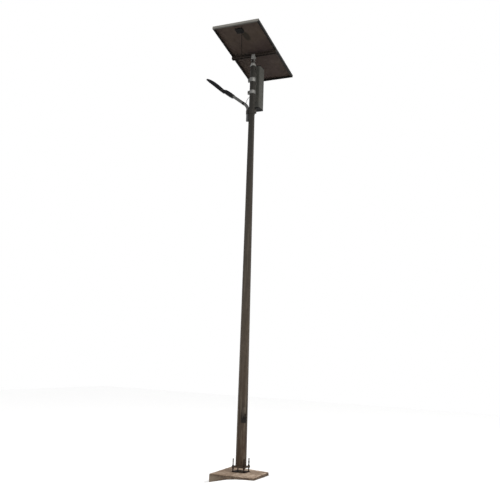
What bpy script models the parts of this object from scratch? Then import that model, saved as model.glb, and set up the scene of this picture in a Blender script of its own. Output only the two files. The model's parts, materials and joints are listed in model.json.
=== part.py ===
"""Solar street lamp: octagonal steel pole on a concrete pad, with a battery box, a lamp on a bent
arm and a tilting solar panel.

Frame: +Z up, origin on the pole's axis at the underside of the pad, +X along the panel's crossbar
(the lamp's arm points to -X), +Y down the panel's slope. Metres.
"""

import math

import bmesh
import bpy
from mathutils import Euler, Matrix, Vector

# ---- driving dimensions -------------------------------------------------------------------------
GAP = 0.0003                    # clearance between pieces that touch
THIN_GAP = 0.0006               # clearance between turned pieces and their faceted holes

PAD_CORNERS = ((-0.27, -0.36), (0.345, -0.375), (0.31, 0.19), (-0.31, 0.39))
PAD_HEIGHT = 0.12

BOLT_OFFSET = 0.076             # anchor bolts at (+-76 mm, +-76 mm): 215 mm bolt circle
BOLT_RADIUS = 0.008             # M16
BOLT_BOTTOM = 0.020
BOLT_TOP = PAD_HEIGHT + 0.170
NUT_FLATS = 0.024
NUT_HEIGHT = 0.013
NUT_WASHER = 0.003

PLATE_SIZE = 0.190              # base flange and anchor template alike
PLATE_CORNER_CUT = 0.015
TEMPLATE_THICKNESS = 0.005
FLANGE_THICKNESS = 0.012
FLANGE_UNDERSIDE = PAD_HEIGHT + 0.058
FLANGE_TOP = FLANGE_UNDERSIDE + FLANGE_THICKNESS

POLE_BOTTOM = FLANGE_TOP + GAP
POLE_TOP = 5.575
POLE_APOTHEM_BOTTOM = 0.0655    # 131 mm across flats
POLE_APOTHEM_TOP = 0.0340       # 68 mm across flats
POLE_WALL = 0.0035

DOOR_HEIGHT_ON_POLE = 0.835
DOOR_WIDTH, DOOR_TALL, DOOR_THICKNESS = 0.048, 0.192, 0.003
OPENING_WIDTH, OPENING_TALL = 0.040, 0.180
HINGE_X, HINGE_Y = -0.0287, -0.0050
KNUCKLE_RADIUS = 0.0043
LOCK_X = 0.0130

BREAKER_X, BREAKER_Z = -0.010, 0.020
BREAKER_FRONT = 0.0177
LEVER_PIVOT_Y = 0.0237
LEVER_REST = math.radians(35.0)
BOARD_FRONT = 0.062

BOX_NEAR, BOX_FAR, BOX_HALF = 0.0703, 0.2253, 0.075
BOX_BOTTOM, BOX_TOP = 4.990, 5.610
BOX_WALL = 0.0025
CAP_HEIGHT = 0.012

CLAMP_HEIGHTS = {"clamp_lower": (5.170, 5.222), "clamp_upper": (5.346, 5.404)}
CLAMP_THICKNESS = 0.004
ARM_CLAMP_SPAN = (4.883, 4.940)

PIPE_RADIUS = 0.0212            # 42.4 mm tube
PIPE_BOTTOM = 4.785
PIPE_BEND_START = 4.938
PIPE_BEND_RADIUS = 0.120
ARM_SLOPE = math.radians(37.2)
ARM_STRAIGHT = 0.288
SOCKET_DEPTH = 0.060

CAP_TOP = 5.617
PIVOT_Z = 5.664
PANEL_TILT = math.radians(12.1)
PANEL_WIDTH, PANEL_LENGTH, FRAME_DEPTH = 0.670, 1.320, 0.035
PANEL_BACK = 0.103              # from the pivot to the back of the panel, along its normal
CROSSBAR_SIZE = 0.041
CROSSBAR_BOTTOM = PANEL_BACK - GAP - CROSSBAR_SIZE
BRACKET_HALF = 0.0254

STEEL = ("galvanised", (0.42, 0.42, 0.40), 0.55, 0.9)
BRIGHT = ("bright_zinc", (0.62, 0.62, 0.60), 0.42, 0.9)
DARK_STEEL = ("rusty_steel", (0.12, 0.07, 0.045), 0.85, 0.5)
CONCRETE = ("concrete", (0.48, 0.41, 0.34), 0.95, 0.0)
GREY_BOX = ("grey_coating", (0.33, 0.33, 0.31), 0.5, 0.2)
ALUMINIUM = ("aluminium", (0.45, 0.45, 0.43), 0.4, 1.0)
BLACK = ("black_plastic", (0.02, 0.02, 0.022), 0.5, 0.0)
LAMP_GREY = ("lamp_casting", (0.06, 0.06, 0.065), 0.5, 0.4)
GLASS = ("glass", (0.55, 0.6, 0.62), 0.08, 0.0)
CELLS = ("solar_cells", (0.12, 0.10, 0.09), 0.5, 0.0)
BOARD = ("white_board", (0.75, 0.75, 0.72), 0.6, 0.0)
RUBBER = ("cable_rubber", (0.015, 0.015, 0.015), 0.7, 0.0)

COLLECTION = "solar_street_lamp"


# ---- helpers ------------------------------------------------------------------------------------
def clear_scene():
    for obj in list(bpy.data.objects):
        bpy.data.objects.remove(obj, do_unlink=True)


def collection(name):
    found = bpy.data.collections.get(name)
    if found is None:
        found = bpy.data.collections.new(name)
        bpy.context.scene.collection.children.link(found)
    return found


def material(spec):
    name, colour, roughness, metallic = spec
    found = bpy.data.materials.get(name)
    if found is None:
        found = bpy.data.materials.new(name)
        found.use_nodes = True
        shader = found.node_tree.nodes["Principled BSDF"]
        shader.inputs["Base Color"].default_value = (*colour, 1.0)
        shader.inputs["Roughness"].default_value = roughness
        shader.inputs["Metallic"].default_value = metallic
    return found


def add_object(name, mesh, spec, parent=None):
    obj = bpy.data.objects.new(name, mesh)
    if spec is not None:
        mesh.materials.clear()
        mesh.materials.append(material(spec))
    collection(COLLECTION).objects.link(obj)
    obj.parent = parent
    return obj


def empty(name, location, rotation=(0.0, 0.0, 0.0), parent=None):
    obj = bpy.data.objects.new(name, None)
    obj.location = location
    obj.rotation_euler = rotation
    obj.parent = parent
    collection(COLLECTION).objects.link(obj)
    return obj


def mesh_from(bm, name):
    mesh = bpy.data.meshes.new(name)
    bm.to_mesh(mesh)
    bm.free()
    return mesh


def box(name, low, high, spec, parent=None, bevel=0.0):
    """A block from its lowest to its highest corner."""
    size = Vector(high) - Vector(low)
    centre = (Vector(high) + Vector(low)) / 2
    bm = bmesh.new()
    bmesh.ops.create_cube(bm, size=1.0)
    bmesh.ops.scale(bm, vec=size, verts=bm.verts)
    bmesh.ops.translate(bm, vec=centre, verts=bm.verts)
    obj = add_object(name, mesh_from(bm, name), spec, parent)
    if bevel:
        round_edges(obj, bevel)
    return obj


def round_edges(obj, width, segments=2):
    modifier = obj.modifiers.new("rounded", "BEVEL")
    modifier.width = width
    modifier.segments = segments
    modifier.limit_method = "ANGLE"
    modifier.angle_limit = math.radians(40)


def aim(axis):
    """Rotation that takes +Z to the axis."""
    return Vector((0, 0, 1)).rotation_difference(Vector(axis)).to_matrix().to_4x4()


def cone(name, start, end, radius_start, radius_end, spec, parent=None, sides=16, turn=0.0):
    """A cylinder or a cone between two points; sides=6 is a hexagon, sides=8 an octagon."""
    start, end = Vector(start), Vector(end)
    bm = bmesh.new()
    place = Matrix.Translation((start + end) / 2) @ aim(end - start) @ Matrix.Rotation(turn, 4, "Z")
    bmesh.ops.create_cone(
        bm, cap_ends=True, segments=sides, radius1=radius_start, radius2=radius_end,
        depth=(end - start).length, matrix=place,
    )
    return add_object(name, mesh_from(bm, name), spec, parent)


def rod(name, start, end, radius, spec, parent=None, sides=16, turn=0.0):
    return cone(name, start, end, radius, radius, spec, parent, sides, turn)


def curve_to_mesh(curve_object):
    """The curve's own shape as a closed mesh, with its caps welded."""
    graph = bpy.context.evaluated_depsgraph_get()
    mesh = bpy.data.meshes.new_from_object(curve_object.evaluated_get(graph))
    bpy.data.objects.remove(curve_object, do_unlink=True)
    bm = bmesh.new()
    bm.from_mesh(mesh)
    bmesh.ops.remove_doubles(bm, verts=bm.verts, dist=0.00001)
    bmesh.ops.recalc_face_normals(bm, faces=bm.faces)
    bm.to_mesh(mesh)
    bm.free()
    return mesh


def prism(name, outline, thickness, spec, parent=None, place=None):
    """A flat outline in its own XY plane, thickened evenly both ways along its Z."""
    curve = bpy.data.curves.new(name + "_outline", "CURVE")
    curve.dimensions = "2D"
    curve.fill_mode = "BOTH"
    curve.extrude = thickness / 2
    spline = curve.splines.new("POLY")
    spline.points.add(len(outline) - 1)
    for point, (x, y) in zip(spline.points, outline):
        point.co = (x, y, 0.0, 1.0)
    spline.use_cyclic_u = True
    guide = bpy.data.objects.new(name + "_outline", curve)
    collection(COLLECTION).objects.link(guide)
    bpy.context.view_layer.update()
    mesh = curve_to_mesh(guide)
    if place is not None:
        mesh.transform(place)
    return add_object(name, mesh, spec, parent)


def cable(name, points, radius, spec, parent=None, samples=24):
    """A round cable along a smooth curve through its points."""
    curve = bpy.data.curves.new(name + "_path", "CURVE")
    curve.dimensions = "3D"
    curve.bevel_depth = radius
    curve.bevel_resolution = 2
    curve.use_fill_caps = True
    route = smooth_route([Vector(p) for p in points], samples)
    spline = curve.splines.new("POLY")
    spline.points.add(len(route) - 1)
    for point, place in zip(spline.points, route):
        point.co = (*place, 1.0)
    guide = bpy.data.objects.new(name + "_path", curve)
    collection(COLLECTION).objects.link(guide)
    bpy.context.view_layer.update()
    return add_object(name, curve_to_mesh(guide), spec, parent)


def smooth_route(points, samples):
    """Evenly stepped points on a Catmull-Rom curve through the given ones."""
    ends = [points[0] * 2 - points[1]] + points + [points[-1] * 2 - points[-2]]
    spans = len(points) - 1
    route = []
    for step in range(samples + 1):
        place = step * spans / samples
        i = min(int(place), spans - 1)
        t = place - i
        a, b, c, d = ends[i:i + 4]
        route.append(
            (b * 2 + (c - a) * t + (a * 2 - b * 5 + c * 4 - d) * t * t
             + (b * 3 - a - c * 3 + d) * t * t * t) / 2
        )
    return route


def rounded_rectangle(width, height, radius, steps=3, centre=(0.0, 0.0)):
    points = []
    for corner, (sx, sy) in enumerate(((1, 1), (-1, 1), (-1, -1), (1, -1))):
        for step in range(steps + 1):
            angle = math.radians(90 * corner + 90 * step / steps)
            x = centre[0] + sx * (width / 2 - radius) + radius * math.cos(angle)
            y = centre[1] + sy * (height / 2 - radius) + radius * math.sin(angle)
            points.append((x, y))
    return points


def combine(obj, other, operation):
    """Boolean with another object, which becomes a hidden guide."""
    for held in list(other.users_collection):
        held.objects.unlink(other)
    collection("cutters").objects.link(other)
    other.hide_render = True
    other.display_type = "WIRE"
    modifier = obj.modifiers.new(other.name, "BOOLEAN")
    modifier.operation = operation
    modifier.object = other
    modifier.solver = "EXACT"
    return obj


def cut(obj, *cutters):
    for cutter in cutters:
        combine(obj, cutter, "DIFFERENCE")
    return obj


def join(obj, *others):
    for other in others:
        combine(obj, other, "UNION")
    return obj


def shade_round(obj, angle=35.0):
    obj.data.shade_smooth()
    obj.data.set_sharp_from_angle(angle=math.radians(angle))
    return obj


def pole_apothem(height):
    """Half the pole's width across flats at a height."""
    along = (height - POLE_BOTTOM) / (POLE_TOP - POLE_BOTTOM)
    return POLE_APOTHEM_BOTTOM + (POLE_APOTHEM_TOP - POLE_APOTHEM_BOTTOM) * along


def octagon(name, low, high, offset, spec=None, parent=None):
    """The pole's own tapered octagon between two heights, grown by an offset."""
    flat_to_corner = 1 / math.cos(math.radians(22.5))
    return cone(
        name, (0, 0, low), (0, 0, high),
        (pole_apothem(low) + offset) * flat_to_corner,
        (pole_apothem(high) + offset) * flat_to_corner,
        spec, parent, sides=8, turn=math.radians(22.5),
    )


XZ_PLANE = Matrix.Rotation(math.radians(90), 4, "X")       # outline x, y -> X, Z; thickness along Y
YZ_PLANE = Matrix(((0, 0, 1, 0), (1, 0, 0, 0), (0, 1, 0, 0), (0, 0, 0, 1)))  # x, y -> Y, Z


# ---- footing ------------------------------------------------------------------------------------
def bolt_places():
    return [(sx * BOLT_OFFSET, sy * BOLT_OFFSET) for sx, sy in ((1, 1), (-1, 1), (-1, -1), (1, -1))]


def hex_nut(name, x, y, low, washer_side, spec):
    """A nut with its washer. washer_side is -1 below, +1 above, 0 for none."""
    washer = NUT_WASHER if washer_side else 0.0
    nut_low = low + (washer if washer_side < 0 else 0.0)
    nut = rod(name, (x, y, nut_low), (x, y, nut_low + NUT_HEIGHT), NUT_FLATS / math.sqrt(3), spec,
              sides=6)
    if washer_side:
        ring_low = low if washer_side < 0 else low + NUT_HEIGHT
        overlap = 0.0005
        join(nut, rod(name + "_washer", (x, y, ring_low - (overlap if washer_side > 0 else 0)),
                      (x, y, ring_low + NUT_WASHER + (overlap if washer_side < 0 else 0)),
                      0.015, None, sides=20))
    cut(nut, rod(name + "_bore", (x, y, low - 0.01), (x, y, low + 0.03),
                 BOLT_RADIUS + THIN_GAP, None, sides=14))
    return nut


def base_plate(name, low, thickness, spec):
    """A square plate with clipped corners, lying flat around the pole's axis."""
    half = PLATE_SIZE / 2
    inner = half - PLATE_CORNER_CUT
    outline = ((half, -inner), (half, inner), (inner, half), (-inner, half),
               (-half, inner), (-half, -inner), (-inner, -half), (inner, -half))
    return prism(name, outline, thickness, spec, place=Matrix.Translation((0, 0, low + thickness / 2)))


def build_footing():
    pad = prism("foundation_block", PAD_CORNERS, PAD_HEIGHT, CONCRETE,
                place=Matrix.Translation((0, 0, PAD_HEIGHT / 2)))
    round_edges(pad, 0.008)
    plate_bottom = PAD_HEIGHT + GAP
    template = base_plate("anchor_template", plate_bottom, TEMPLATE_THICKNESS, DARK_STEEL)
    cut(template, rod("template_centre", (0, 0, 0.10), (0, 0, 0.14), 0.045, None, sides=24))
    flange = base_plate("base_flange", FLANGE_UNDERSIDE, FLANGE_THICKNESS, STEEL)
    cut(flange, rod("flange_centre", (0, 0, 0.15), (0, 0, 0.20), 0.050, None, sides=24))
    for index, (x, y) in enumerate(bolt_places(), start=1):
        rod(f"anchor_bolt_{index}", (x, y, BOLT_BOTTOM), (x, y, BOLT_TOP), BOLT_RADIUS, DARK_STEEL,
            sides=14)
        cut(pad, rod(f"pad_hole_{index}", (x, y, BOLT_BOTTOM - GAP), (x, y, PAD_HEIGHT + 0.02),
                     BOLT_RADIUS + THIN_GAP, None, sides=14))
        cut(template, rod(f"template_hole_{index}", (x, y, 0.10), (x, y, 0.14), 0.009, None))
        cut(flange, rod(f"flange_hole_{index}", (x, y, 0.15), (x, y, 0.20), 0.009, None))
        hex_nut(f"levelling_nut_{index}", x, y, FLANGE_UNDERSIDE - GAP - NUT_HEIGHT - NUT_WASHER, 1,
                DARK_STEEL)
        hex_nut(f"top_nut_{index}", x, y, FLANGE_TOP + GAP, -1, DARK_STEEL)
    spare_x, spare_y = bolt_places()[0]
    hex_nut("lock_nut", spare_x, spare_y, PAD_HEIGHT + 0.113, 0, DARK_STEEL)


# ---- pole and its access door -------------------------------------------------------------------
def door_frame():
    """An empty on the pole's facet: X across it, Y into the pole, Z up along it."""
    lean = math.atan((POLE_APOTHEM_BOTTOM - POLE_APOTHEM_TOP) / (POLE_TOP - POLE_BOTTOM))
    apothem = pole_apothem(DOOR_HEIGHT_ON_POLE)
    side = math.radians(-45)
    place = (apothem * math.cos(side), apothem * math.sin(side), DOOR_HEIGHT_ON_POLE)
    return empty("door_facet", place, (-lean, 0.0, math.radians(45)))


def build_pole(facet):
    pole = octagon("pole_shaft", POLE_BOTTOM, POLE_TOP, 0.0, STEEL)
    cut(pole, octagon("pole_bore", POLE_BOTTOM - 0.05, POLE_TOP + 0.05, -POLE_WALL))
    opening = rounded_rectangle(OPENING_WIDTH, OPENING_TALL, 0.006)
    cut(pole, prism("door_opening", opening, 0.030, None, facet, XZ_PLANE))
    cut(pole, rod("lamp_cable_hole", (-0.06, 0, 5.125), (-0.01, 0, 5.125), 0.0075, None))
    cut(pole, rod("battery_cable_hole", (0, 0.01, 4.872), (0, 0.06, 4.872), 0.0085, None))
    return pole


def build_door(facet):
    hinge = empty("door_hinge_axis", (HINGE_X, HINGE_Y, 0.0), parent=facet)
    door = prism("access_door", rounded_rectangle(DOOR_WIDTH, DOOR_TALL, 0.006),
                 DOOR_THICKNESS, STEEL, hinge,
                 Matrix.Translation((-HINGE_X, -GAP - DOOR_THICKNESS / 2 - HINGE_Y, 0)) @ XZ_PLANE)
    plate_outer = -GAP - DOOR_THICKNESS - HINGE_Y
    for side in (-1, 1):
        near, far = sorted((side * 0.0202, side * 0.0600))
        join(door,
             box(f"door_tab_{near}", (0.0, plate_outer, near), (0.012, -GAP - HINGE_Y, far), None,
                 hinge),
             rod(f"door_knuckle_{near}", (0, 0, near), (0, 0, far), KNUCKLE_RADIUS, None, hinge))
    cut(door,
        rod("door_pin_hole", (0, 0, -0.08), (0, 0, 0.08), 0.0024, None, hinge),
        rod("door_lock_hole", (LOCK_X - HINGE_X, -0.01, 0), (LOCK_X - HINGE_X, 0.02, 0), 0.0064,
            None, hinge))

    leaf = rod("door_hinge", (HINGE_X, HINGE_Y, -0.0195), (HINGE_X, HINGE_Y, 0.0195),
               KNUCKLE_RADIUS, STEEL, facet)
    facet_half = pole_apothem(DOOR_HEIGHT_ON_POLE) * math.tan(math.radians(22.5))
    plate_turn = Matrix.Translation((-facet_half, 0, 0)) @ Matrix.Rotation(math.radians(135), 4, "Z")
    plate = box("door_leaf_plate", (-0.0005, 2 * GAP, -0.0195), (0.017, 0.0026, 0.0195), None, facet)
    plate.data.transform(plate_turn)
    join(leaf, plate,
         rod("door_pin", (HINGE_X, HINGE_Y, -0.062), (HINGE_X, HINGE_Y, 0.062), 0.0019, None, facet))

    turn = empty("door_lock_axis", (LOCK_X - HINGE_X, 0.0, 0.0), parent=hinge)
    shift = -HINGE_Y
    lock = rod("door_lock", (0, -0.0066 + shift, 0), (0, -0.0037 + shift, 0), 0.0080, BRIGHT, turn)
    join(lock,
         rod("lock_barrel", (0, -0.0040 + shift, 0), (0, 0.0066 + shift, 0), 0.0058, None, turn),
         box("lock_tongue", (-0.004, 0.0046 + shift, -0.0118), (0.004, 0.0066 + shift, 0.001), None,
             turn))
    cut(lock, rod("lock_key_way", (0, -0.0080 + shift, 0), (0, -0.0030 + shift, 0), 0.0035, None,
                  turn, sides=3))


def build_switchgear(facet):
    back_wall = 2 * pole_apothem(DOOR_HEIGHT_ON_POLE) - POLE_WALL - 0.0010
    board = box("mounting_board", (-0.018, BOARD_FRONT, -0.075), (0.018, BOARD_FRONT + 0.003, 0.075),
                BOARD, facet)
    for side in (-1, 1):
        near, far = sorted((side * 0.072, side * 0.075))
        low, high = sorted((side * 0.060, side * 0.075))
        join(board,
             box(f"board_arm_{near}", (-0.012, BOARD_FRONT + 0.001, near), (0.012, back_wall, far),
                 None, facet),
             box(f"board_foot_{near}", (-0.012, back_wall - 0.003, low), (0.012, back_wall, high),
                 None, facet))
    breaker = box("circuit_breaker",
                  (BREAKER_X - 0.009, LEVER_PIVOT_Y, BREAKER_Z - 0.040),
                  (BREAKER_X + 0.009, BOARD_FRONT - GAP, BREAKER_Z + 0.040), BOARD, facet)
    join(breaker, box("breaker_nose", (BREAKER_X - 0.009, BREAKER_FRONT, BREAKER_Z - 0.022),
                      (BREAKER_X + 0.009, LEVER_PIVOT_Y + 0.001, BREAKER_Z + 0.022), None, facet))
    cut(breaker, box("breaker_slot", (BREAKER_X - 0.0037, BREAKER_FRONT - 0.005, BREAKER_Z - 0.013),
                     (BREAKER_X + 0.0037, LEVER_PIVOT_Y + 0.0070, BREAKER_Z + 0.013), None, facet))
    pivot = empty("breaker_lever_axis", (BREAKER_X, LEVER_PIVOT_Y, BREAKER_Z),
                  (-LEVER_REST, 0.0, 0.0), facet)
    lever = rod("breaker_lever", (-0.0032, 0, 0), (0.0032, 0, 0), 0.0050, BLACK, pivot)
    join(lever, box("lever_tab", (-0.0030, -0.0140, -0.0018), (0.0030, -0.0020, 0.0018), None, pivot))


# ---- battery box --------------------------------------------------------------------------------
def build_battery():
    centre_y = (BOX_NEAR + BOX_FAR) / 2
    depth = BOX_FAR - BOX_NEAR
    outline = rounded_rectangle(2 * BOX_HALF, depth, 0.012, centre=(0, centre_y))
    hollow = rounded_rectangle(2 * (BOX_HALF - BOX_WALL), depth - 2 * BOX_WALL, 0.0095,
                               centre=(0, centre_y))
    case_low, case_high = BOX_BOTTOM + CAP_HEIGHT + GAP, BOX_TOP - CAP_HEIGHT - GAP
    middle = Matrix.Translation((0, 0, (case_low + case_high) / 2))
    case = prism("battery_case", outline, case_high - case_low, GREY_BOX, place=middle)
    cut(case, prism("battery_case_bore", hollow, case_high - case_low + 0.04, None, place=middle))
    for name, low in (("battery_bottom_cap", BOX_BOTTOM), ("battery_top_cap", BOX_TOP - CAP_HEIGHT)):
        place = Matrix.Translation((0, 0, low + CAP_HEIGHT / 2))
        cap = prism(name, outline, CAP_HEIGHT, BLACK, place=place)
        if name == "battery_bottom_cap":
            join(cap, rod("battery_gland", (0, 0.105, BOX_BOTTOM - 0.016),
                          (0, 0.105, BOX_BOTTOM + 0.002), 0.010, None, sides=12))
    box("battery_pack", (-0.062, 0.088, 5.020), (0.062, 0.208, 5.440), GREY_BOX)
    box("charge_controller", (-0.055, 0.110, 5.452), (0.055, 0.145, 5.572), BLACK)

    rail_near = pole_apothem(CLAMP_HEIGHTS["clamp_lower"][0]) + GAP + CLAMP_THICKNESS + 2 * GAP
    rail_far = BOX_NEAR - GAP
    rail_outline = (
        (-0.020, rail_near), (0.020, rail_near), (0.020, rail_far), (0.0165, rail_far),
        (0.0165, rail_near + 0.0035), (-0.0165, rail_near + 0.0035), (-0.0165, rail_far),
        (-0.020, rail_far),
    )
    prism("battery_rail", rail_outline, 0.420, STEEL, place=Matrix.Translation((0, 0, 5.290)))

    for name, (low, high) in CLAMP_HEIGHTS.items():
        band = octagon(name, low, high, GAP + CLAMP_THICKNESS, BRIGHT)
        ear_start = pole_apothem(low) + 0.002
        ear_end = ear_start + 0.030
        join(band, box(name + "_ears", (-ear_end, -0.0095, low), (-ear_start, 0.0095, high), None))
        cut(band, octagon(name + "_bore", low - 0.02, high + 0.02, GAP),
            box(name + "_slot", (-ear_end - 0.01, -0.0035, low - 0.01),
                (-ear_start + 0.02, 0.0035, high + 0.01), None),
            rod(name + "_hole", (-ear_end + 0.010, -0.02, (low + high) / 2),
                (-ear_end + 0.010, 0.02, (low + high) / 2), 0.0056, None))
        bolt_x, bolt_z = -ear_end + 0.010, (low + high) / 2
        bolt = rod(name.replace("clamp", "clamp_bolt"), (bolt_x, -0.018, bolt_z),
                   (bolt_x, 0.022, bolt_z), 0.0050, STEEL, sides=12)
        join(bolt,
             rod(name + "_bolt_head", (bolt_x, -0.0165, bolt_z), (bolt_x, -0.0098, bolt_z), 0.0098,
                 None, sides=6),
             rod(name + "_bolt_nut", (bolt_x, 0.0098, bolt_z), (bolt_x, 0.0178, bolt_z), 0.0098,
                 None, sides=6))

    route = ((0, 0.105, BOX_BOTTOM - 0.0163), (0, 0.105, 4.945), (0, 0.094, 4.905),
             (0, 0.072, 4.880), (0, 0.050, 4.872), (0, 0.024, 4.872))
    cable("battery_cable", route, 0.0045, RUBBER)


# ---- lamp on its arm ----------------------------------------------------------------------------
def pipe_axis_x():
    return -(pole_apothem(PIPE_BOTTOM) + GAP + PIPE_RADIUS)


def pipe_route():
    """Straight up beside the pole, a bend outwards, then a straight slope."""
    x = pipe_axis_x()
    route = [Vector((x, 0, PIPE_BOTTOM)), Vector((x, 0, PIPE_BEND_START))]
    turn = math.radians(90) - ARM_SLOPE
    steps = 8
    for step in range(1, steps + 1):
        angle = turn * step / steps
        route.append(Vector((x - PIPE_BEND_RADIUS * (1 - math.cos(angle)), 0,
                             PIPE_BEND_START + PIPE_BEND_RADIUS * math.sin(angle))))
    slope = Vector((-math.cos(ARM_SLOPE), 0, math.sin(ARM_SLOPE)))
    route.append(route[-1] + slope * ARM_STRAIGHT)
    return route, slope


def sweep(name, route, radius, sides, spec):
    """A round bar along a bent route."""
    curve = bpy.data.curves.new(name + "_path", "CURVE")
    curve.dimensions = "3D"
    curve.bevel_depth = radius
    curve.bevel_resolution = sides
    curve.use_fill_caps = True
    spline = curve.splines.new("POLY")
    spline.points.add(len(route) - 1)
    for point, place in zip(spline.points, route):
        point.co = (*place, 1.0)
    guide = bpy.data.objects.new(name + "_path", curve)
    collection(COLLECTION).objects.link(guide)
    bpy.context.view_layer.update()
    return add_object(name, curve_to_mesh(guide), spec)


def build_arm():
    route, slope = pipe_route()
    pipe = sweep("arm_pipe", route, PIPE_RADIUS, 4, BRIGHT)
    overrun = [route[0] - Vector((0, 0, 0.02))] + route[1:-1] + [route[-1] + slope * 0.02]
    cut(pipe, sweep("arm_pipe_bore", overrun, PIPE_RADIUS - 0.0032, 3, None))
    cable_entry = route[9]
    side = Vector((slope.z, 0, -slope.x))
    cut(pipe, rod("arm_cable_hole", cable_entry, cable_entry + side * 0.04, 0.0055, None))

    low, high = ARM_CLAMP_SPAN
    clamp = octagon("arm_clamp", low, high, GAP + 0.0035, STEEL)
    x = pipe_axis_x()
    join(clamp, rod("arm_clamp_saddle", (x, 0, low), (x, 0, high), PIPE_RADIUS + 0.004, None,
                    sides=24),
         box("arm_clamp_ears", (pole_apothem(low), -0.0095, low),
             (pole_apothem(low) + 0.028, 0.0095, high), None))
    cut(clamp, octagon("arm_clamp_pole", low - 0.02, high + 0.02, GAP),
        rod("arm_clamp_pipe", (x, 0, low - 0.02), (x, 0, high + 0.02), PIPE_RADIUS + THIN_GAP, None,
            sides=24),
        box("arm_clamp_slot", (pole_apothem(low) - 0.010, -0.0035, low - 0.01),
            (pole_apothem(low) + 0.04, 0.0035, high + 0.01), None))
    start = Vector((-pole_apothem(5.125) + 0.016, 0, 5.125))
    end = cable_entry + side * 0.0100
    path = (start, Vector((-0.0480, 0, 5.1250)), Vector((-0.0640, 0, 5.1120)),
            Vector((-0.0800, 0, 5.0850)), end + side * 0.024 + slope * -0.002, end)
    cable("lamp_cable", path, 0.0030, RUBBER, samples=20)
    return route[-1], slope


def build_lamp(pipe_end, slope):
    """The lamp: local X runs out along the arm, local Z up from it."""
    socket_mouth = pipe_end - slope * SOCKET_DEPTH
    frame = empty("lamp_socket", socket_mouth, Euler((0.0, -ARM_SLOPE, math.pi)))
    rear_outline = ((0.000, -0.0270), (0.028, -0.034), (0.150, -0.034), (0.168, -0.031),
                    (0.168, 0.008), (0.140, 0.022), (0.095, 0.027), (0.040, 0.027), (0.000, 0.0255))
    rear = prism("lamp_fitter", rear_outline, 0.118, LAMP_GREY, frame, XZ_PLANE)
    pin_x, pin_z = 0.181, -0.012
    for side in (-1, 1):
        low, high = sorted((side * 0.0440, side * 0.0585))
        join(rear, rod(f"fitter_ear_{side}", (pin_x, low, pin_z), (pin_x, high, pin_z), 0.0110,
                       None, frame),
             box(f"fitter_web_{side}", (0.160, low, pin_z - 0.009), (pin_x, high, pin_z + 0.009),
                 None, frame))
    join(rear, rod("fitter_pin", (pin_x, -0.0500, pin_z), (pin_x, 0.0500, pin_z), 0.0050, None,
                   frame))
    cut(rear, rod("fitter_socket", (-0.02, 0, 0), (SOCKET_DEPTH + 0.001, 0, 0),
                  PIPE_RADIUS + 0.0007, None, frame, sides=24),
        box("driver_bay", (0.070, -0.050, -0.047), (0.160, 0.050, 0.016), None, frame))
    cover = box("driver_cover", (0.0705, -0.0495, -0.0339), (0.1595, 0.0495, -0.0310), LAMP_GREY,
                frame)
    box("lamp_driver", (0.078, -0.024, -0.0306), (0.150, 0.024, 0.0000), GREY_BOX, frame)

    axis = empty("lamp_tilt_axis", (pin_x, 0.0, pin_z), parent=frame)
    head_outline = ((0.016, -0.031), (0.310, -0.0150), (0.318, -0.0080), (0.318, -0.0020),
                    (0.312, 0.0090), (0.290, 0.0200), (0.240, 0.0270), (0.190, 0.0290),
                    (0.120, 0.0265), (0.060, 0.0215), (0.016, 0.0190))
    head = prism("lamp_body", head_outline, 0.190, LAMP_GREY, axis, XZ_PLANE)
    join(head, rod("body_knuckle", (0, -0.0434, 0), (0, 0.0434, 0), 0.0110, None, axis),
         box("body_web", (0.0, -0.0434, -0.009), (0.020, 0.0434, 0.009), None, axis))
    cut(head, rod("body_pin_hole", (0, -0.06, 0), (0, 0.06, 0), 0.0054, None, axis))
    fall = math.atan2(0.0160, 0.294)
    tray = empty("lamp_underside", (0.016, 0.0, -0.031), (0.0, -fall, 0.0), axis)
    cut(head, prism("optic_bay", rounded_rectangle(0.235, 0.150, 0.020), 0.022, None, tray,
                    Matrix.Translation((0.160, 0, 0.0))))
    prism("led_board", rounded_rectangle(0.230, 0.145, 0.018), 0.0024, BLACK, tray,
          Matrix.Translation((0.160, 0, 0.0094)))
    prism("lamp_lens", rounded_rectangle(0.234, 0.149, 0.0195), 0.0040, GLASS, tray,
          Matrix.Translation((0.160, 0, 0.0022)))
    return cover


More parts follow.
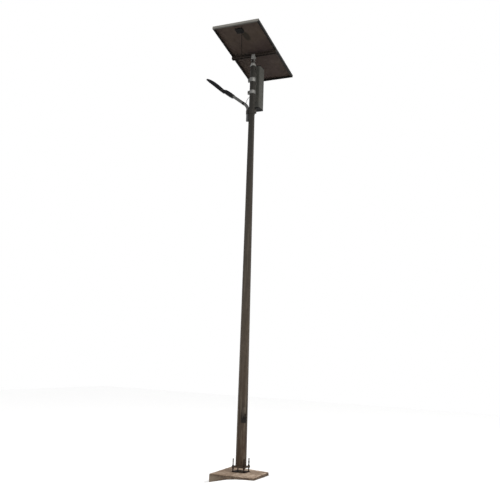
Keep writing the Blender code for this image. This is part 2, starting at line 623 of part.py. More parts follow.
# ---- head, bracket and panel --------------------------------------------------------------------
def build_head():
    turn = empty("head_swivel_axis", (0, 0, PIVOT_Z))
    flat_to_corner = 1 / math.cos(math.radians(22.5))
    base = POLE_TOP + GAP - PIVOT_Z
    top = CAP_TOP - PIVOT_Z
    cap = cone("head_cap", (0, 0, base), (0, 0, top), 0.0425 * flat_to_corner,
               0.0255 * flat_to_corner, BRIGHT, turn, sides=8, turn=math.radians(22.5))
    join(cap, rod("head_spigot", (0, 0, base - 0.080), (0, 0, base + 0.002), 0.0298, None, turn,
                  sides=24))
    cut(cap, rod("spigot_bore", (0, 0, base - 0.090), (0, 0, base + 0.006), 0.0255, None, turn,
                 sides=24),
        rod("cap_cable_hole", (0, 0, base), (0, 0, top + 0.01), 0.0110, None, turn))

    clevis_bottom = top + GAP
    clevis = box("head_clevis", (-0.020, -0.022, clevis_bottom), (0.020, 0.022, clevis_bottom + 0.006),
                 BRIGHT, turn)
    ear = [(-0.020, clevis_bottom + 0.001), (0.020, clevis_bottom + 0.001)]
    ear += [(0.020 * math.cos(a), 0.020 * math.sin(a) - 0.002)
            for a in (math.radians(20 * step) for step in range(10))]
    for side in (-1, 1):
        join(clevis, prism(f"clevis_ear_{side}", ear, 0.006, None, turn,
                           Matrix.Translation((side * 0.017, 0, 0)) @ YZ_PLANE))
    cut(clevis, rod("clevis_bolt_hole", (-0.04, 0, 0), (0.04, 0, 0), 0.0065, None, turn),
        rod("clevis_cable_hole", (0, 0, clevis_bottom - 0.01), (0, 0, clevis_bottom + 0.01), 0.0100,
            None, turn))
    bolt = rod("pivot_bolt", (-0.060, 0, 0), (0.030, 0, 0), 0.0060, STEEL, turn)
    join(bolt, rod("pivot_bolt_head", (0.0258, 0, 0), (0.0335, 0, 0), 0.0110, None, turn, sides=6))
    nut = rod("pivot_nut", (-0.0370, 0, 0), (-0.0258, 0, 0), 0.0121, STEEL, turn, sides=6)
    cut(nut, rod("pivot_nut_bore", (-0.05, 0, 0), (-0.02, 0, 0), 0.0065, None, turn))
    return turn


def build_bracket(tilt):
    web_top = CROSSBAR_BOTTOM - GAP
    bracket = box("tilt_bracket", (-BRACKET_HALF, -0.026, web_top - 0.005),
                  (BRACKET_HALF, 0.026, web_top), BRIGHT, tilt)
    cheek = [(0.026, web_top - 0.001), (-0.026, web_top - 0.001)]
    cheek += [(0.018 * math.cos(a), 0.018 * math.sin(a))
              for a in (math.radians(180 + 20 * step) for step in range(10))]
    for side in (-1, 1):
        join(bracket, prism(f"bracket_cheek_{side}", cheek, 0.005, None, tilt,
                            Matrix.Translation((side * (BRACKET_HALF - 0.0025), 0, 0)) @ YZ_PLANE))
    front = [(-0.0210, 0.008), (0.0210, 0.008), (BRACKET_HALF, 0.014), (BRACKET_HALF, 0.078),
             (0.0160, 0.0875), (-0.0160, 0.0875), (-BRACKET_HALF, 0.078), (-BRACKET_HALF, 0.014)]
    join(bracket, prism("bracket_front", front, 0.0042, None, tilt,
                        Matrix.Translation((0, -0.0230, 0)) @ XZ_PLANE))
    cut(bracket, rod("bracket_pivot_hole", (-0.04, 0, 0), (0.04, 0, 0), 0.0065, None, tilt))

    wall, lip, half = 0.0025, 0.0095, CROSSBAR_SIZE / 2
    channel = (
        (-half, 0), (-half + lip, 0), (-half + lip, 0.0070), (-half + lip - wall, 0.0070),
        (-half + lip - wall, wall), (-half + wall, wall), (-half + wall, CROSSBAR_SIZE - wall),
        (half - wall, CROSSBAR_SIZE - wall), (half - wall, wall), (half - lip + wall, wall),
        (half - lip + wall, 0.0070), (half - lip, 0.0070), (half - lip, 0), (half, 0),
        (half, CROSSBAR_SIZE), (-half, CROSSBAR_SIZE),
    )
    prism("crossbar", channel, PANEL_WIDTH, ALUMINIUM, tilt,
          Matrix.Translation((0, 0, CROSSBAR_BOTTOM)) @ YZ_PLANE)
    for index, x in enumerate((-0.0130, 0.0130), start=1):
        cut(bracket, rod(f"bracket_bolt_hole_{index}", (x, 0, 0.04), (x, 0, 0.07), 0.0045, None,
                         tilt))
        bolt = rod(f"bracket_bolt_{index}", (x, 0, web_top - 0.0100), (x, 0, web_top + 0.0200),
                   0.0040, STEEL, tilt, sides=12)
        join(bolt, rod(f"bracket_bolt_head_{index}", (x, 0, web_top - 0.0110),
                       (x, 0, web_top - 0.0053), 0.0075, None, tilt, sides=6),
             box(f"channel_nut_{index}", (x - 0.010, -0.0165, web_top + 0.0080),
                 (x + 0.010, 0.0165, web_top + 0.0150), None, tilt))


def frame_rail(name, length, place, tilt):
    """One side of the panel's frame. Its outline's X runs inwards from the panel's edge."""
    profile = (
        (0, 0), (0.022, 0), (0.022, 0.0016), (0.0016, 0.0016), (0.0016, 0.0262), (0.010, 0.0262),
        (0.010, 0.0277), (0.0016, 0.0277), (0.0016, 0.0337), (0.009, 0.0337), (0.009, FRAME_DEPTH),
        (0, FRAME_DEPTH),
    )
    rail = prism(name, profile, length, ALUMINIUM, tilt)
    for vertex in rail.data.vertices:
        mitre = vertex.co.x + GAP / 2
        vertex.co.z -= math.copysign(mitre, vertex.co.z)
    rail.data.transform(place @ XZ_PLANE)
    return rail


def build_panel(tilt):
    half_width, half_length = PANEL_WIDTH / 2, PANEL_LENGTH / 2
    sides = (
        ("frame_left", PANEL_LENGTH, 0, half_width), ("frame_low", PANEL_WIDTH, 270, half_length),
        ("frame_right", PANEL_LENGTH, 180, half_width), ("frame_high", PANEL_WIDTH, 90, half_length),
    )
    for name, length, angle, offset in sides:
        turn = Matrix.Rotation(math.radians(angle), 4, "Z")
        place = Matrix.Translation((0, 0, PANEL_BACK)) @ turn @ Matrix.Translation((-offset, 0, 0))
        frame_rail(name, length, place, tilt)
    edge = 0.0019
    x, y = half_width - edge, half_length - edge
    box("panel_glass", (-x, -y, PANEL_BACK + 0.0302), (x, y, PANEL_BACK + 0.0334), GLASS, tilt)
    box("cell_laminate", (-x, -y, PANEL_BACK + 0.0280), (x, y, PANEL_BACK + 0.0299), CELLS, tilt)
    top = PANEL_BACK + 0.0277
    junction = box("junction_box", (-0.050, -0.5525, top - 0.025), (0.050, -0.4675, top), BLACK, tilt)
    cut(junction, box("junction_box_bay", (-0.047, -0.5495, top - 0.0225), (0.047, -0.4705, top + 0.01),
                      None, tilt))
    join(junction, rod("junction_gland", (0.003, -0.4685, top - 0.0125), (0.003, -0.4525, top - 0.0125),
                       0.0080, None, tilt, sides=12))
    route = (
        (0.0030, -0.4518, 0.1182), (0.0020, -0.4370, 0.1180), (-0.0205, -0.3950, 0.1100),
        (-0.0625, -0.3000, 0.1010), (-0.1105, -0.1900, 0.0985), (-0.1560, -0.0850, 0.0960),
        (-0.1740, -0.0450, 0.0900), (-0.1640, -0.0290, 0.0830), (-0.1200, -0.0265, 0.0800),
        (-0.070, -0.0260, 0.0760), (-0.042, -0.0275, 0.0660), (-0.031, -0.0300, 0.0500),
        (-0.0295, -0.0300, 0.0280), (-0.0270, -0.0300, 0.0100), (-0.0170, -0.0300, -0.0030),
        (-0.0050, -0.0265, -0.0110), (0.000, -0.0180, -0.0150),
    )
    cable("panel_cable", route, 0.0030, RUBBER, tilt, samples=64)


def main():
    clear_scene()
    build_footing()
    facet = door_frame()
    build_pole(facet)
    build_door(facet)
    build_switchgear(facet)
    build_battery()
    pipe_end, slope = build_arm()
    build_lamp(pipe_end, slope)
    head = build_head()
    tilt = empty("panel_tilt_axis", (0, 0, 0), (-PANEL_TILT, 0, 0), head)
    build_bracket(tilt)
    build_panel(tilt)
    for obj in collection(COLLECTION).objects:
        if obj.type == "MESH":
            shade_round(obj)


main()
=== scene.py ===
"""Looks of the solar street lamp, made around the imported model. Metres, +Z up, in the model's frame."""

import json
import math
import random

import bmesh
import bpy
from mathutils import Euler, Matrix, Vector, noise


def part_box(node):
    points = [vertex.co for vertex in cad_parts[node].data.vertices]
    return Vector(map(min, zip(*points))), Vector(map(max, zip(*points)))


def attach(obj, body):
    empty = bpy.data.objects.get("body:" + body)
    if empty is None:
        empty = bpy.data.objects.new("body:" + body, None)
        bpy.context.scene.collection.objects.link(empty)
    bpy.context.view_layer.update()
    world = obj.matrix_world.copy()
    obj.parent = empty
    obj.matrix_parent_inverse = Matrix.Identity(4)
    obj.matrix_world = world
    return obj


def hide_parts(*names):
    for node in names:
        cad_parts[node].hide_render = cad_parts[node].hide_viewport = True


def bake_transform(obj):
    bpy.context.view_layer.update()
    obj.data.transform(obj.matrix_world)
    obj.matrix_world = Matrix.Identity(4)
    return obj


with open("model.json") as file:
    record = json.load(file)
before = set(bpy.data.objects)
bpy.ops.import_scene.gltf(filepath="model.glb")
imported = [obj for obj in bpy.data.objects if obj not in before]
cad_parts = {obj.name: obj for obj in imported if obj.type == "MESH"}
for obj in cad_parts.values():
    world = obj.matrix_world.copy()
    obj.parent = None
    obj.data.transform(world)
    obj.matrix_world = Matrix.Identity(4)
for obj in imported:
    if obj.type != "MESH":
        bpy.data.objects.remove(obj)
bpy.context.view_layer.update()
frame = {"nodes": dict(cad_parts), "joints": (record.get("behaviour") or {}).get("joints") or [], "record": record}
joints = {joint["name"]: joint for joint in frame["joints"]}

# ---- frames and sizes, as in the CAD source -----------------------------------------------------
PANEL_TILT = math.radians(12.1)
ARM_SLOPE = math.radians(37.2)
PIVOT = Vector(joints["panel_tilt"]["pos_m"])
PANEL = Matrix.Translation(PIVOT) @ Matrix.Rotation(-PANEL_TILT, 4, "X")
HEAD = Matrix.Translation(PIVOT)
LAMP_TURN = Euler((0.0, -ARM_SLOPE, math.pi)).to_matrix().to_4x4()
LAMP = Matrix.Translation(joints["lamp_tilt"]["pos_m"]) @ LAMP_TURN
KNUCKLE_OUT, KNUCKLE_UP = 0.181, -0.012
SOCKET = LAMP @ Matrix.Translation((-KNUCKLE_OUT, 0, -KNUCKLE_UP))
PANEL_WIDTH, PANEL_LENGTH, PANEL_BACK = 0.670, 1.320, 0.103
CROSSBAR_BOTTOM = 0.0617
PIPE_RADIUS, PIPE_WALL = 0.0212, 0.0032
POLE_LOW, POLE_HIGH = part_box("pole_shaft")[0].z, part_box("pole_shaft")[1].z
APOTHEM_LOW, APOTHEM_HIGH = 0.0655, 0.0340
XZ = Matrix.Rotation(math.radians(90), 4, "X")


def pole_apothem(height):
    along = (height - POLE_LOW) / (POLE_HIGH - POLE_LOW)
    return APOTHEM_LOW + (APOTHEM_HIGH - APOTHEM_LOW) * along


# ---- materials ----------------------------------------------------------------------------------
class Nodes:
    """A small builder for a procedural material."""

    def __init__(self, name):
        self.material = bpy.data.materials.new(name)
        self.material.use_nodes = True
        self.tree = self.material.node_tree
        self.shader = self.tree.nodes["Principled BSDF"]
        self.place = self.tree.nodes.new("ShaderNodeTexCoord").outputs["Object"]

    def new(self, kind, inputs=None, **settings):
        node = self.tree.nodes.new("ShaderNode" + kind)
        for key, value in settings.items():
            setattr(node, key, value)
        for key, value in (inputs or {}).items():
            socket = node.inputs[key]
            if isinstance(value, bpy.types.NodeSocket):
                self.tree.links.new(value, socket)
            else:
                socket.default_value = value
        return node

    def scaled(self, scale):
        node = self.new("Mapping", {"Vector": self.place})
        node.inputs["Scale"].default_value = scale
        return node.outputs["Vector"]

    def noise(self, scale, detail=4.0, roughness=0.55, stretch=(1, 1, 1)):
        where = self.scaled(stretch)
        return self.new("TexNoise", {"Vector": where, "Scale": scale, "Detail": detail,
                                     "Roughness": roughness}).outputs["Fac"]

    def cells(self, scale, stretch=(1, 1, 1), feature="F1", output="Distance"):
        where = self.scaled(stretch)
        return self.new("TexVoronoi", {"Vector": where, "Scale": scale}, feature=feature).outputs[output]

    def spangle(self, scale, stretch=(1, 1, 1)):
        """Grey crystal facets, no two alike."""
        return self.ramp(self.cells(scale, stretch, output="Color"), (0.2, (0.25,) * 3), (0.8, (0.75,) * 3))

    def ramp(self, value, *stops):
        node = self.new("ValToRGB", {"Fac": value})
        elements = node.color_ramp.elements
        while len(elements) < len(stops):
            elements.new(0.5)
        for element, (position, colour) in zip(elements, stops):
            element.position = position
            element.color = (*colour, 1.0) if len(colour) == 3 else colour
        return node.outputs["Color"]

    def level(self, value, low, high, to_low=0.0, to_high=1.0):
        return self.new("MapRange", {"Value": value, "From Min": low, "From Max": high,
                                     "To Min": to_low, "To Max": to_high}).outputs["Result"]

    def mix(self, factor, first, second, blend="MIX"):
        node = self.new("Mix", data_type="RGBA", blend_type=blend)
        for socket, value in zip((node.inputs["Factor"], node.inputs[6], node.inputs[7]),
                                 (factor, first, second)):
            if isinstance(value, bpy.types.NodeSocket):
                self.tree.links.new(value, socket)
            else:
                socket.default_value = (*value, 1.0) if isinstance(value, tuple) else value
        return node.outputs[2]

    def math(self, operation, first, second=0.0):
        node = self.new("Math", operation=operation)
        for socket, value in zip(node.inputs, (first, second)):
            if isinstance(value, bpy.types.NodeSocket):
                self.tree.links.new(value, socket)
            else:
                socket.default_value = value
        return node.outputs["Value"]

    def axis(self, name):
        return self.new("SeparateXYZ", {"Vector": self.place}).outputs[name]

    def facing_down(self):
        normal = self.new("NewGeometry").outputs["Normal"]
        height = self.new("SeparateXYZ", {"Vector": normal}).outputs["Z"]
        return self.math("MULTIPLY", height, -1.0)

    def worn_edges(self, low=0.52, high=0.60):
        point = self.new("NewGeometry").outputs["Pointiness"]
        return self.level(point, low, high)

    def patches(self, base, colour, grain, low, high, amount):
        """The base with a colour laid over it where the noise is high."""
        return self.mix(self.level(self.noise(*grain), low, high, 0.0, amount), base, colour)

    def worn(self, base, colour, amount):
        """The base with a lighter colour along its worn edges."""
        return self.mix(self.math("MULTIPLY", self.worn_edges(), amount), base, colour)

    def varied(self, scale, low, high):
        """A value that wanders between two ends."""
        return self.level(self.noise(scale), 0.3, 0.7, low, high)

    def bump(self, height, strength, distance):
        return self.new("Bump", {"Height": height, "Strength": strength,
                                 "Distance": distance}).outputs["Normal"]

    def finish(self, colour, roughness, metallic=0.0, normal=None, **fixed):
        for key, value in {"Base Color": colour, "Roughness": roughness, "Metallic": metallic,
                           "Normal": normal}.items():
            if isinstance(value, bpy.types.NodeSocket):
                self.tree.links.new(value, self.shader.inputs[key])
            elif value is not None:
                self.shader.inputs[key].default_value = (*value, 1.0) if isinstance(value, tuple) else value
        for key, value in fixed.items():
            self.shader.inputs[key.replace("_", " ")].default_value = value
        return self.material


def scaled_colour(colour, factor):
    return tuple(min(1.0, c * factor) for c in colour)


def galvanised_pole():
    """Dull zinc: darker towards the top, brown with splashed soil at the foot, near-black round the door."""
    n = Nodes("galvanised_pole")
    height = n.axis("Z")
    tone = n.ramp(n.level(height, 0.1, 5.6), (0.0, (0.050, 0.028, 0.015)), (0.12, (0.028, 0.018, 0.011)),
                  (0.30, (0.052, 0.040, 0.029)), (0.62, (0.026, 0.022, 0.018)),
                  (0.88, (0.009, 0.009, 0.008)))
    grain = n.mix(0.22, tone, n.spangle(55.0, (1, 1, 0.5)), "OVERLAY")
    streaks = n.noise(16.0, 5.0, 0.6, (1, 1, 0.035))
    low_down = n.level(height, 4.4, 5.0, 1.0, 0.25)
    dusty = n.mix(n.math("MULTIPLY", n.level(streaks, 0.50, 0.72, 0.0, 0.5), low_down), grain,
                  (0.085, 0.070, 0.055))
    dirt = n.patches(dusty, (0.018, 0.013, 0.009), (5.0, 6.0, 0.7, (1, 1, 0.25)), 0.50, 0.75, 0.6)
    pale = n.level(n.noise(34.0, 5.0, 0.6, (1, 1, 0.05)), 0.52, 0.62, 0.0, 0.65)
    streaked = n.mix(n.math("MULTIPLY", pale, n.level(height, 3.6, 2.2)), dirt, (0.105, 0.088, 0.066))
    clods = n.level(n.noise(11.0, 6.0, 0.7, (1, 1, 0.45)), 0.46, 0.60)
    darker_brown = n.mix(n.math("MULTIPLY", clods, n.level(height, 1.0, 0.45, 0.0, 0.75)), streaked,
                 (0.020, 0.010, 0.006))
    foot = n.patches(darker_brown, (0.075, 0.046, 0.028), (15.0, 4.0), 0.52, 0.66, 0.5)
    lower = n.mix(n.level(height, 0.55, 0.30), darker_brown, foot)
    runs = n.level(n.noise(30.0, 5.0, 0.7, (1, 1, 0.09)), 0.42, 0.56, 0.0, 1.0)
    # Near-black on the door's facet round the door, solid low down and in runs above.
    near_door = n.math("MULTIPLY", n.level(height, 0.725, 0.74), n.level(height, 1.12, 0.80, 0.2, 1.0))
    towards_door = n.level(n.math("SUBTRACT", n.axis("X"), n.axis("Y")), 0.055, 0.080)
    dark_patch = n.math("MULTIPLY", n.math("MULTIPLY", near_door, towards_door),
                   n.math("MAXIMUM", runs, n.level(height, 0.90, 0.80)))
    door_darkened = n.mix(dark_patch, lower, (0.003, 0.002, 0.0015))
    edge = n.worn(door_darkened, (0.08, 0.07, 0.058), 0.25)
    height_map = n.math("ADD", n.noise(240.0, 3.0), n.math("MULTIPLY", streaks, 0.7))
    return n.finish(edge, n.varied(30.0, 0.60, 0.85), 0.10,
                    n.bump(height_map, 0.25, 0.0006), Specular_IOR_Level=0.15)


def zinc(name, light, dark, roughness, metallic=0.4):
    """Bright zinc with its spangle, dull at the low spots."""
    n = Nodes(name)
    base = n.ramp(n.noise(14.0, 6.0, 0.65), (0.30, dark), (0.62, light))
    flecked = n.mix(0.30, base, n.spangle(90.0), "OVERLAY")
    dark_patch = n.patches(flecked, scaled_colour(dark, 0.42), (7.0, 5.0, 0.7, (1, 1, 0.4)), 0.56, 0.74, 0.55)
    edge = n.worn(dark_patch, scaled_colour(light, 1.3), 0.5)
    return n.finish(edge, n.varied(40.0, roughness - 0.1, roughness + 0.12),
                    metallic, n.bump(n.noise(320.0, 3.0), 0.15, 0.0004), Specular_IOR_Level=0.2)


def rusty_steel():
    n = Nodes("rusty_steel")
    rust = n.ramp(n.noise(60.0, 8.0, 0.7), (0.30, (0.006, 0.004, 0.003)), (0.52, (0.016, 0.008, 0.005)),
                  (0.74, (0.055, 0.026, 0.013)))
    patch = n.patches(rust, (0.022, 0.018, 0.015), (16.0, 4.0), 0.54, 0.66, 0.7)
    return n.finish(patch, n.varied(80.0, 0.65, 0.95), 0.10,
                    n.bump(n.noise(420.0, 6.0, 0.7), 0.5, 0.0006), Specular_IOR_Level=0.08)


def concrete():
    """Cast concrete: sandy on top, with painted shade darkening its sides, and soil splashed along the foot."""
    n = Nodes("cast_concrete")
    height = n.axis("Z")
    broad = n.math("MULTIPLY", n.noise(5.5, 6.0, 0.65), 0.5)
    fine = n.math("MULTIPLY", n.noise(24.0, 8.0, 0.75), 0.5)
    blotch = n.ramp(n.math("ADD", broad, fine), (0.38, (0.085, 0.050, 0.030)),
                    (0.50, (0.21, 0.145, 0.100)), (0.60, (0.48, 0.380, 0.300)))
    # Darker, redder brown towards -X.
    darker_brown = n.mix(n.level(n.axis("X"), 0.02, -0.20, 0.0, 0.45), blotch, (0.115, 0.066, 0.038))
    grit = n.mix(n.level(n.cells(330.0), 0.0, 0.55, 0.45, 0.0), darker_brown, (0.13, 0.095, 0.068))
    sand = n.patches(grit, (0.45, 0.37, 0.29), (900.0, 2.0), 0.35, 0.65, 0.35)
    # The sides are darker than the top: painted shade, made uneven with noise.
    facing_up = n.math("MULTIPLY", n.facing_down(), -1.0)
    on_side = n.level(facing_up, 0.75, 0.35)
    painted_side_shade = n.math("MULTIPLY", on_side, n.level(n.noise(40.0, 5.0, 0.7), 0.3, 0.6, 0.6, 1.0))
    sides = n.mix(painted_side_shade, sand, (0.060, 0.042, 0.030))
    pale_foot = n.mix(n.level(n.axis("X"), -0.02, -0.22, 0.0, 0.6), sides, (0.20, 0.165, 0.125))
    soil = n.mix(n.math("MULTIPLY", n.level(height, 0.112, 0.08), on_side), sides, pale_foot)
    splash = n.patches(soil, (0.17, 0.130, 0.094), (9.0, 5.0), 0.50, 0.72, 0.4)
    lumps = n.math("ADD", n.math("MULTIPLY", n.noise(45.0, 8.0, 0.7), 1.4), n.noise(520.0, 4.0, 0.7))
    pits = n.math("SUBTRACT", lumps, n.level(n.cells(120.0), 0.0, 0.16, 0.6, 0.0))
    return n.finish(splash, 0.95, 0.0, n.bump(pits, 0.8, 0.0022), Specular_IOR_Level=0.12)


def aluminium(name, light, dark, stretch, dust_colour=(0.15, 0.125, 0.10)):
    """Anodised profile with its drawing lines along the long way."""
    n = Nodes(name)
    lines = n.noise(140.0, 3.0, 0.6, stretch)
    tone = n.ramp(n.noise(6.0, 5.0, 0.6), (0.3, dark), (0.7, light))
    drawn = n.mix(n.level(lines, 0.3, 0.7, 0.0, 0.25), tone, scaled_colour(dark, 0.6))
    dust = n.patches(drawn, dust_colour, (10.0, 6.0, 0.7), 0.52, 0.74, 0.45)
    # Faces that point down are darkened: painted shade on the undersides.
    painted_underside_shade = n.mix(n.level(n.facing_down(), 0.15, 0.75, 0.0, 0.85), dust, scaled_colour(dark, 0.30))
    edge = n.worn(painted_underside_shade, scaled_colour(light, 1.2), 0.3)
    return n.finish(edge, n.level(lines, 0.3, 0.7, 0.50, 0.66), 0.2, n.bump(lines, 0.12, 0.0003),
                    Specular_IOR_Level=0.10)


def powder_coat(name, light, dark, dust_colour, dust_amount, roughness, shine=0.2):
    """Powder coating: orange peel, faded in broad patches, dust and run marks."""
    n = Nodes(name)
    fade = n.ramp(n.noise(4.0, 4.0, 0.55, (1, 1, 0.35)), (0.30, dark), (0.70, light))
    streaked = n.patches(fade, scaled_colour(dark, 0.62), (22.0, 5.0, 0.6, (1, 1, 0.06)), 0.52, 0.74, 0.35)
    dusty = n.patches(streaked, dust_colour, (12.0, 7.0, 0.7), 0.48, 0.72, dust_amount)
    edge = n.worn(dusty, scaled_colour(light, 1.5), 0.5)
    peel = n.math("ADD", n.noise(600.0, 2.0), n.math("MULTIPLY", n.noise(60.0, 3.0), 0.5))
    return n.finish(edge, n.varied(30.0, roughness - 0.08, roughness + 0.12), 0.0,
                    n.bump(peel, 0.12, 0.0003), Specular_IOR_Level=shine)


def plastic(name, colour, roughness=0.5, dust=0.25):
    n = Nodes(name)
    shade = n.patches(colour, scaled_colour(colour, 0.55), (18.0, 6.0, 0.6), 0.35, 0.70, 0.35)
    dusty = n.patches(shade, (0.16, 0.135, 0.11), (30.0, 7.0, 0.7), 0.50, 0.74, dust)
    edge = n.worn(dusty, tuple(min(1, c * 2.2 + 0.02) for c in colour), 0.3)
    return n.finish(edge, n.varied(50.0, roughness - 0.08, roughness + 0.12), 0.0,
                    n.bump(n.noise(900.0, 2.0), 0.18, 0.0002), Specular_IOR_Level=0.06)


def backsheet():
    """The panel's underside: a brown-grey film, darkened as painted shade of the underside, with dust, a painted
    shadow beside the junction box and the cells showing faintly through it.
    """
    n = Nodes("panel_backsheet")
    # The brown-grey tone is painted shade of the underside.
    tone = n.ramp(n.noise(2.6, 5.0, 0.55), (0.28, (0.048, 0.032, 0.026)), (0.50, (0.066, 0.047, 0.036)),
                  (0.72, (0.085, 0.064, 0.048)))
    tint = n.patches(tone, (0.060, 0.042, 0.048), (1.7, 2.0), 0.4, 0.65, 0.35)
    dust = n.patches(tint, (0.105, 0.085, 0.068), (14.0, 8.0, 0.7, (1, 0.6, 1)), 0.50, 0.75, 0.35)
    # A soft dark ellipse beside the junction box: painted shadow of the box.
    shadow_centre = n.new("Mapping", {"Vector": n.place})
    shadow_centre.inputs["Location"].default_value = (-0.76, 3.30, 0.0)
    shadow_centre.inputs["Scale"].default_value = (21.0, 10.0, 0.0)
    away = n.new("VectorMath", {0: shadow_centre.outputs["Vector"]}, operation="LENGTH").outputs["Value"]
    painted_box_shadow = n.mix(n.level(away, 1.15, 0.70, 0.0, 0.72), dust, (0.014, 0.012, 0.007))
    return n.finish(painted_box_shadow, n.varied(22.0, 0.55, 0.75), 0.0,
                    n.bump(n.noise(180.0, 4.0), 0.15, 0.0004), Specular_IOR_Level=0.15)


def cell_face():
    """One crystalline cell: blue-black with fine fingers."""
    n = Nodes("cell_silicon")
    crystal = n.cells(38.0, output="Color")
    base = n.ramp(n.noise(9.0, 4.0), (0.3, (0.006, 0.011, 0.032)), (0.7, (0.012, 0.022, 0.060)))
    mottled = n.mix(0.14, base, crystal, "OVERLAY")
    lines = n.new("TexWave", {"Vector": n.place, "Scale": 95.0, "Distortion": 0.0}, bands_direction="X")
    fingers = n.level(lines.outputs["Fac"], 0.93, 0.99, 0.0, 0.35)
    return n.finish(n.mix(fingers, mottled, (0.16, 0.17, 0.19)), 0.22, 0.0,
                    n.bump(n.noise(300.0), 0.05, 0.0001), Coat_Weight=0.3)


def glass(name, tint, roughness):
    """Clear sheet with a film of dust."""
    n = Nodes(name)
    dust = n.level(n.noise(9.0, 8.0, 0.7), 0.45, 0.80, 0.0, 1.0)
    colour = n.mix(dust, tint, scaled_colour(tint, 0.94))
    return n.finish(colour, n.level(dust, 0.0, 1.0, roughness, roughness + 0.04), 0.0,
                    n.bump(n.noise(30.0, 2.0), 0.02, 0.0002), Transmission_Weight=1.0, IOR=1.45)


def rubber():
    n = Nodes("cable_rubber")
    tone = n.ramp(n.noise(26.0, 6.0), (0.35, (0.003, 0.003, 0.003)), (0.70, (0.010, 0.009, 0.008)))
    return n.finish(tone, n.varied(60.0, 0.58, 0.80), 0.0,
                    n.bump(n.noise(700.0, 3.0), 0.25, 0.0003), Specular_IOR_Level=0.04)


def glowless_led():
    n = Nodes("led_phosphor")
    tone = n.mix(n.level(n.cells(260.0), 0.0, 0.5, 0.0, 0.4), (0.85, 0.62, 0.12), (0.95, 0.80, 0.35))
    return n.finish(tone, 0.35, 0.0, n.bump(n.noise(900.0), 0.1, 0.0002))


MATERIALS = {
    "pole": galvanised_pole(),
    "zinc": zinc("bright_zinc", (0.115, 0.115, 0.110), (0.045, 0.045, 0.042), 0.46, 0.3),
    # A lighter copy of the bright zinc for the head cap and tilt bracket: painted light.
    "head": zinc("head_zinc_painted_light", (0.23, 0.23, 0.22), (0.115, 0.115, 0.108), 0.46, 0.35),
    "arm": zinc("arm_zinc", (0.070, 0.070, 0.068), (0.040, 0.040, 0.039), 0.52, 0.2),
    "fixings": zinc("fixing_zinc", (0.075, 0.071, 0.066), (0.030, 0.028, 0.025), 0.48),
    "rust": rusty_steel(),
    "concrete": concrete(),
    # The high frame's copy of the aluminium is lighter than the rails': dust and painted sky light.
    "frame": aluminium("frame_aluminium_dust_and_painted_light", (0.170, 0.166, 0.152), (0.110, 0.106, 0.095), (1, 0.02, 1)),
    "rail": aluminium("side_rail_aluminium", (0.014, 0.013, 0.011), (0.007, 0.006, 0.005), (1, 0.02, 1),
                      (0.030, 0.026, 0.021)),
    "channel": aluminium("channel_aluminium", (0.026, 0.020, 0.016), (0.013, 0.009, 0.007), (0.02, 1, 1),
                         (0.040, 0.030, 0.024)),
    "box": powder_coat("box_coating", (0.052, 0.052, 0.047), (0.030, 0.030, 0.026),
                       (0.070, 0.064, 0.052), 0.35, 0.55, 0.12),
    "casting": powder_coat("lamp_casting", (0.010, 0.010, 0.011), (0.004, 0.004, 0.005),
                           (0.022, 0.021, 0.019), 0.30, 0.60, 0.04),
    "black": plastic("black_plastic", (0.005, 0.005, 0.005), 0.60, 0.06),
    "white": plastic("white_plastic", (0.66, 0.66, 0.63), 0.45, 0.12),
    "blue": plastic("blue_wrap", (0.05, 0.12, 0.30), 0.35, 0.05),
    "rubber": rubber(),
    "backsheet": backsheet(),
    "cell": cell_face(),
    "glass": glass("solar_glass", (0.93, 0.96, 0.97), 0.0),
    "lens": glass("lens_plastic", (0.90, 0.92, 0.93), 0.12),
    "led": glowless_led(),
}


# ---- mesh tools ---------------------------------------------------------------------------------
def new_object(name, bm, material, place=None):
    """Turns a bmesh into an object with a material and smooth shading."""
    mesh = bpy.data.meshes.new(name)
    bm.to_mesh(mesh)
    bm.free()
    if place is not None:
        mesh.transform(place)
    mesh.materials.append(material)
    mesh.shade_smooth()
    made = bpy.data.objects.new(name, mesh)
    bpy.context.scene.collection.objects.link(made)
    return made


def finish_piece(name, bm, look, body, place=None, replaces=(), sharp=32.0):
    """Makes a piece of the model, with its material, body and sharp edges."""
    bmesh.ops.recalc_face_normals(bm, faces=bm.faces)
    piece = new_object(name, bm, MATERIALS[look], place)
    piece.data.set_sharp_from_angle(angle=math.radians(sharp))
    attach(piece, body)
    if replaces:
        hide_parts(*replaces)
    return piece


def body_of_node(node):
    for body, nodes in frame["record"]["behaviour"]["bodies"].items():
        if node in nodes:
            return body
    return "pole"


def refine(node, look, width=0.0006, segments=2, long_width=None, long_edge=1.0, angle=32.0):
    """The CAD node's own shape with rounded edges, in a new piece that stands for it."""
    bm = bmesh.new()
    bm.from_mesh(frame["nodes"][node].data)
    bmesh.ops.remove_doubles(bm, verts=bm.verts, dist=0.000005)
    bmesh.ops.dissolve_limit(bm, angle_limit=math.radians(0.8), verts=bm.verts, edges=bm.edges)
    sharp = [e for e in bm.edges if e.is_manifold and e.calc_face_angle(0.0) > math.radians(33)]
    if long_width:
        long = [e for e in sharp if e.calc_length() > long_edge]
        sharp = [e for e in sharp if e.calc_length() <= long_edge]
        bmesh.ops.bevel(bm, geom=long, offset=long_width, segments=3, profile=0.5, affect="EDGES",
                        clamp_overlap=True)
        sharp = [e for e in bm.edges if e.is_manifold and e.calc_length() <= long_edge
                 and e.calc_face_angle(0.0) > math.radians(60)]
    bmesh.ops.bevel(bm, geom=sharp, offset=width, segments=segments, profile=0.5, affect="EDGES",
                    clamp_overlap=True)
    return finish_piece(node + "_finished", bm, look, body_of_node(node), replaces=(node,), sharp=angle)


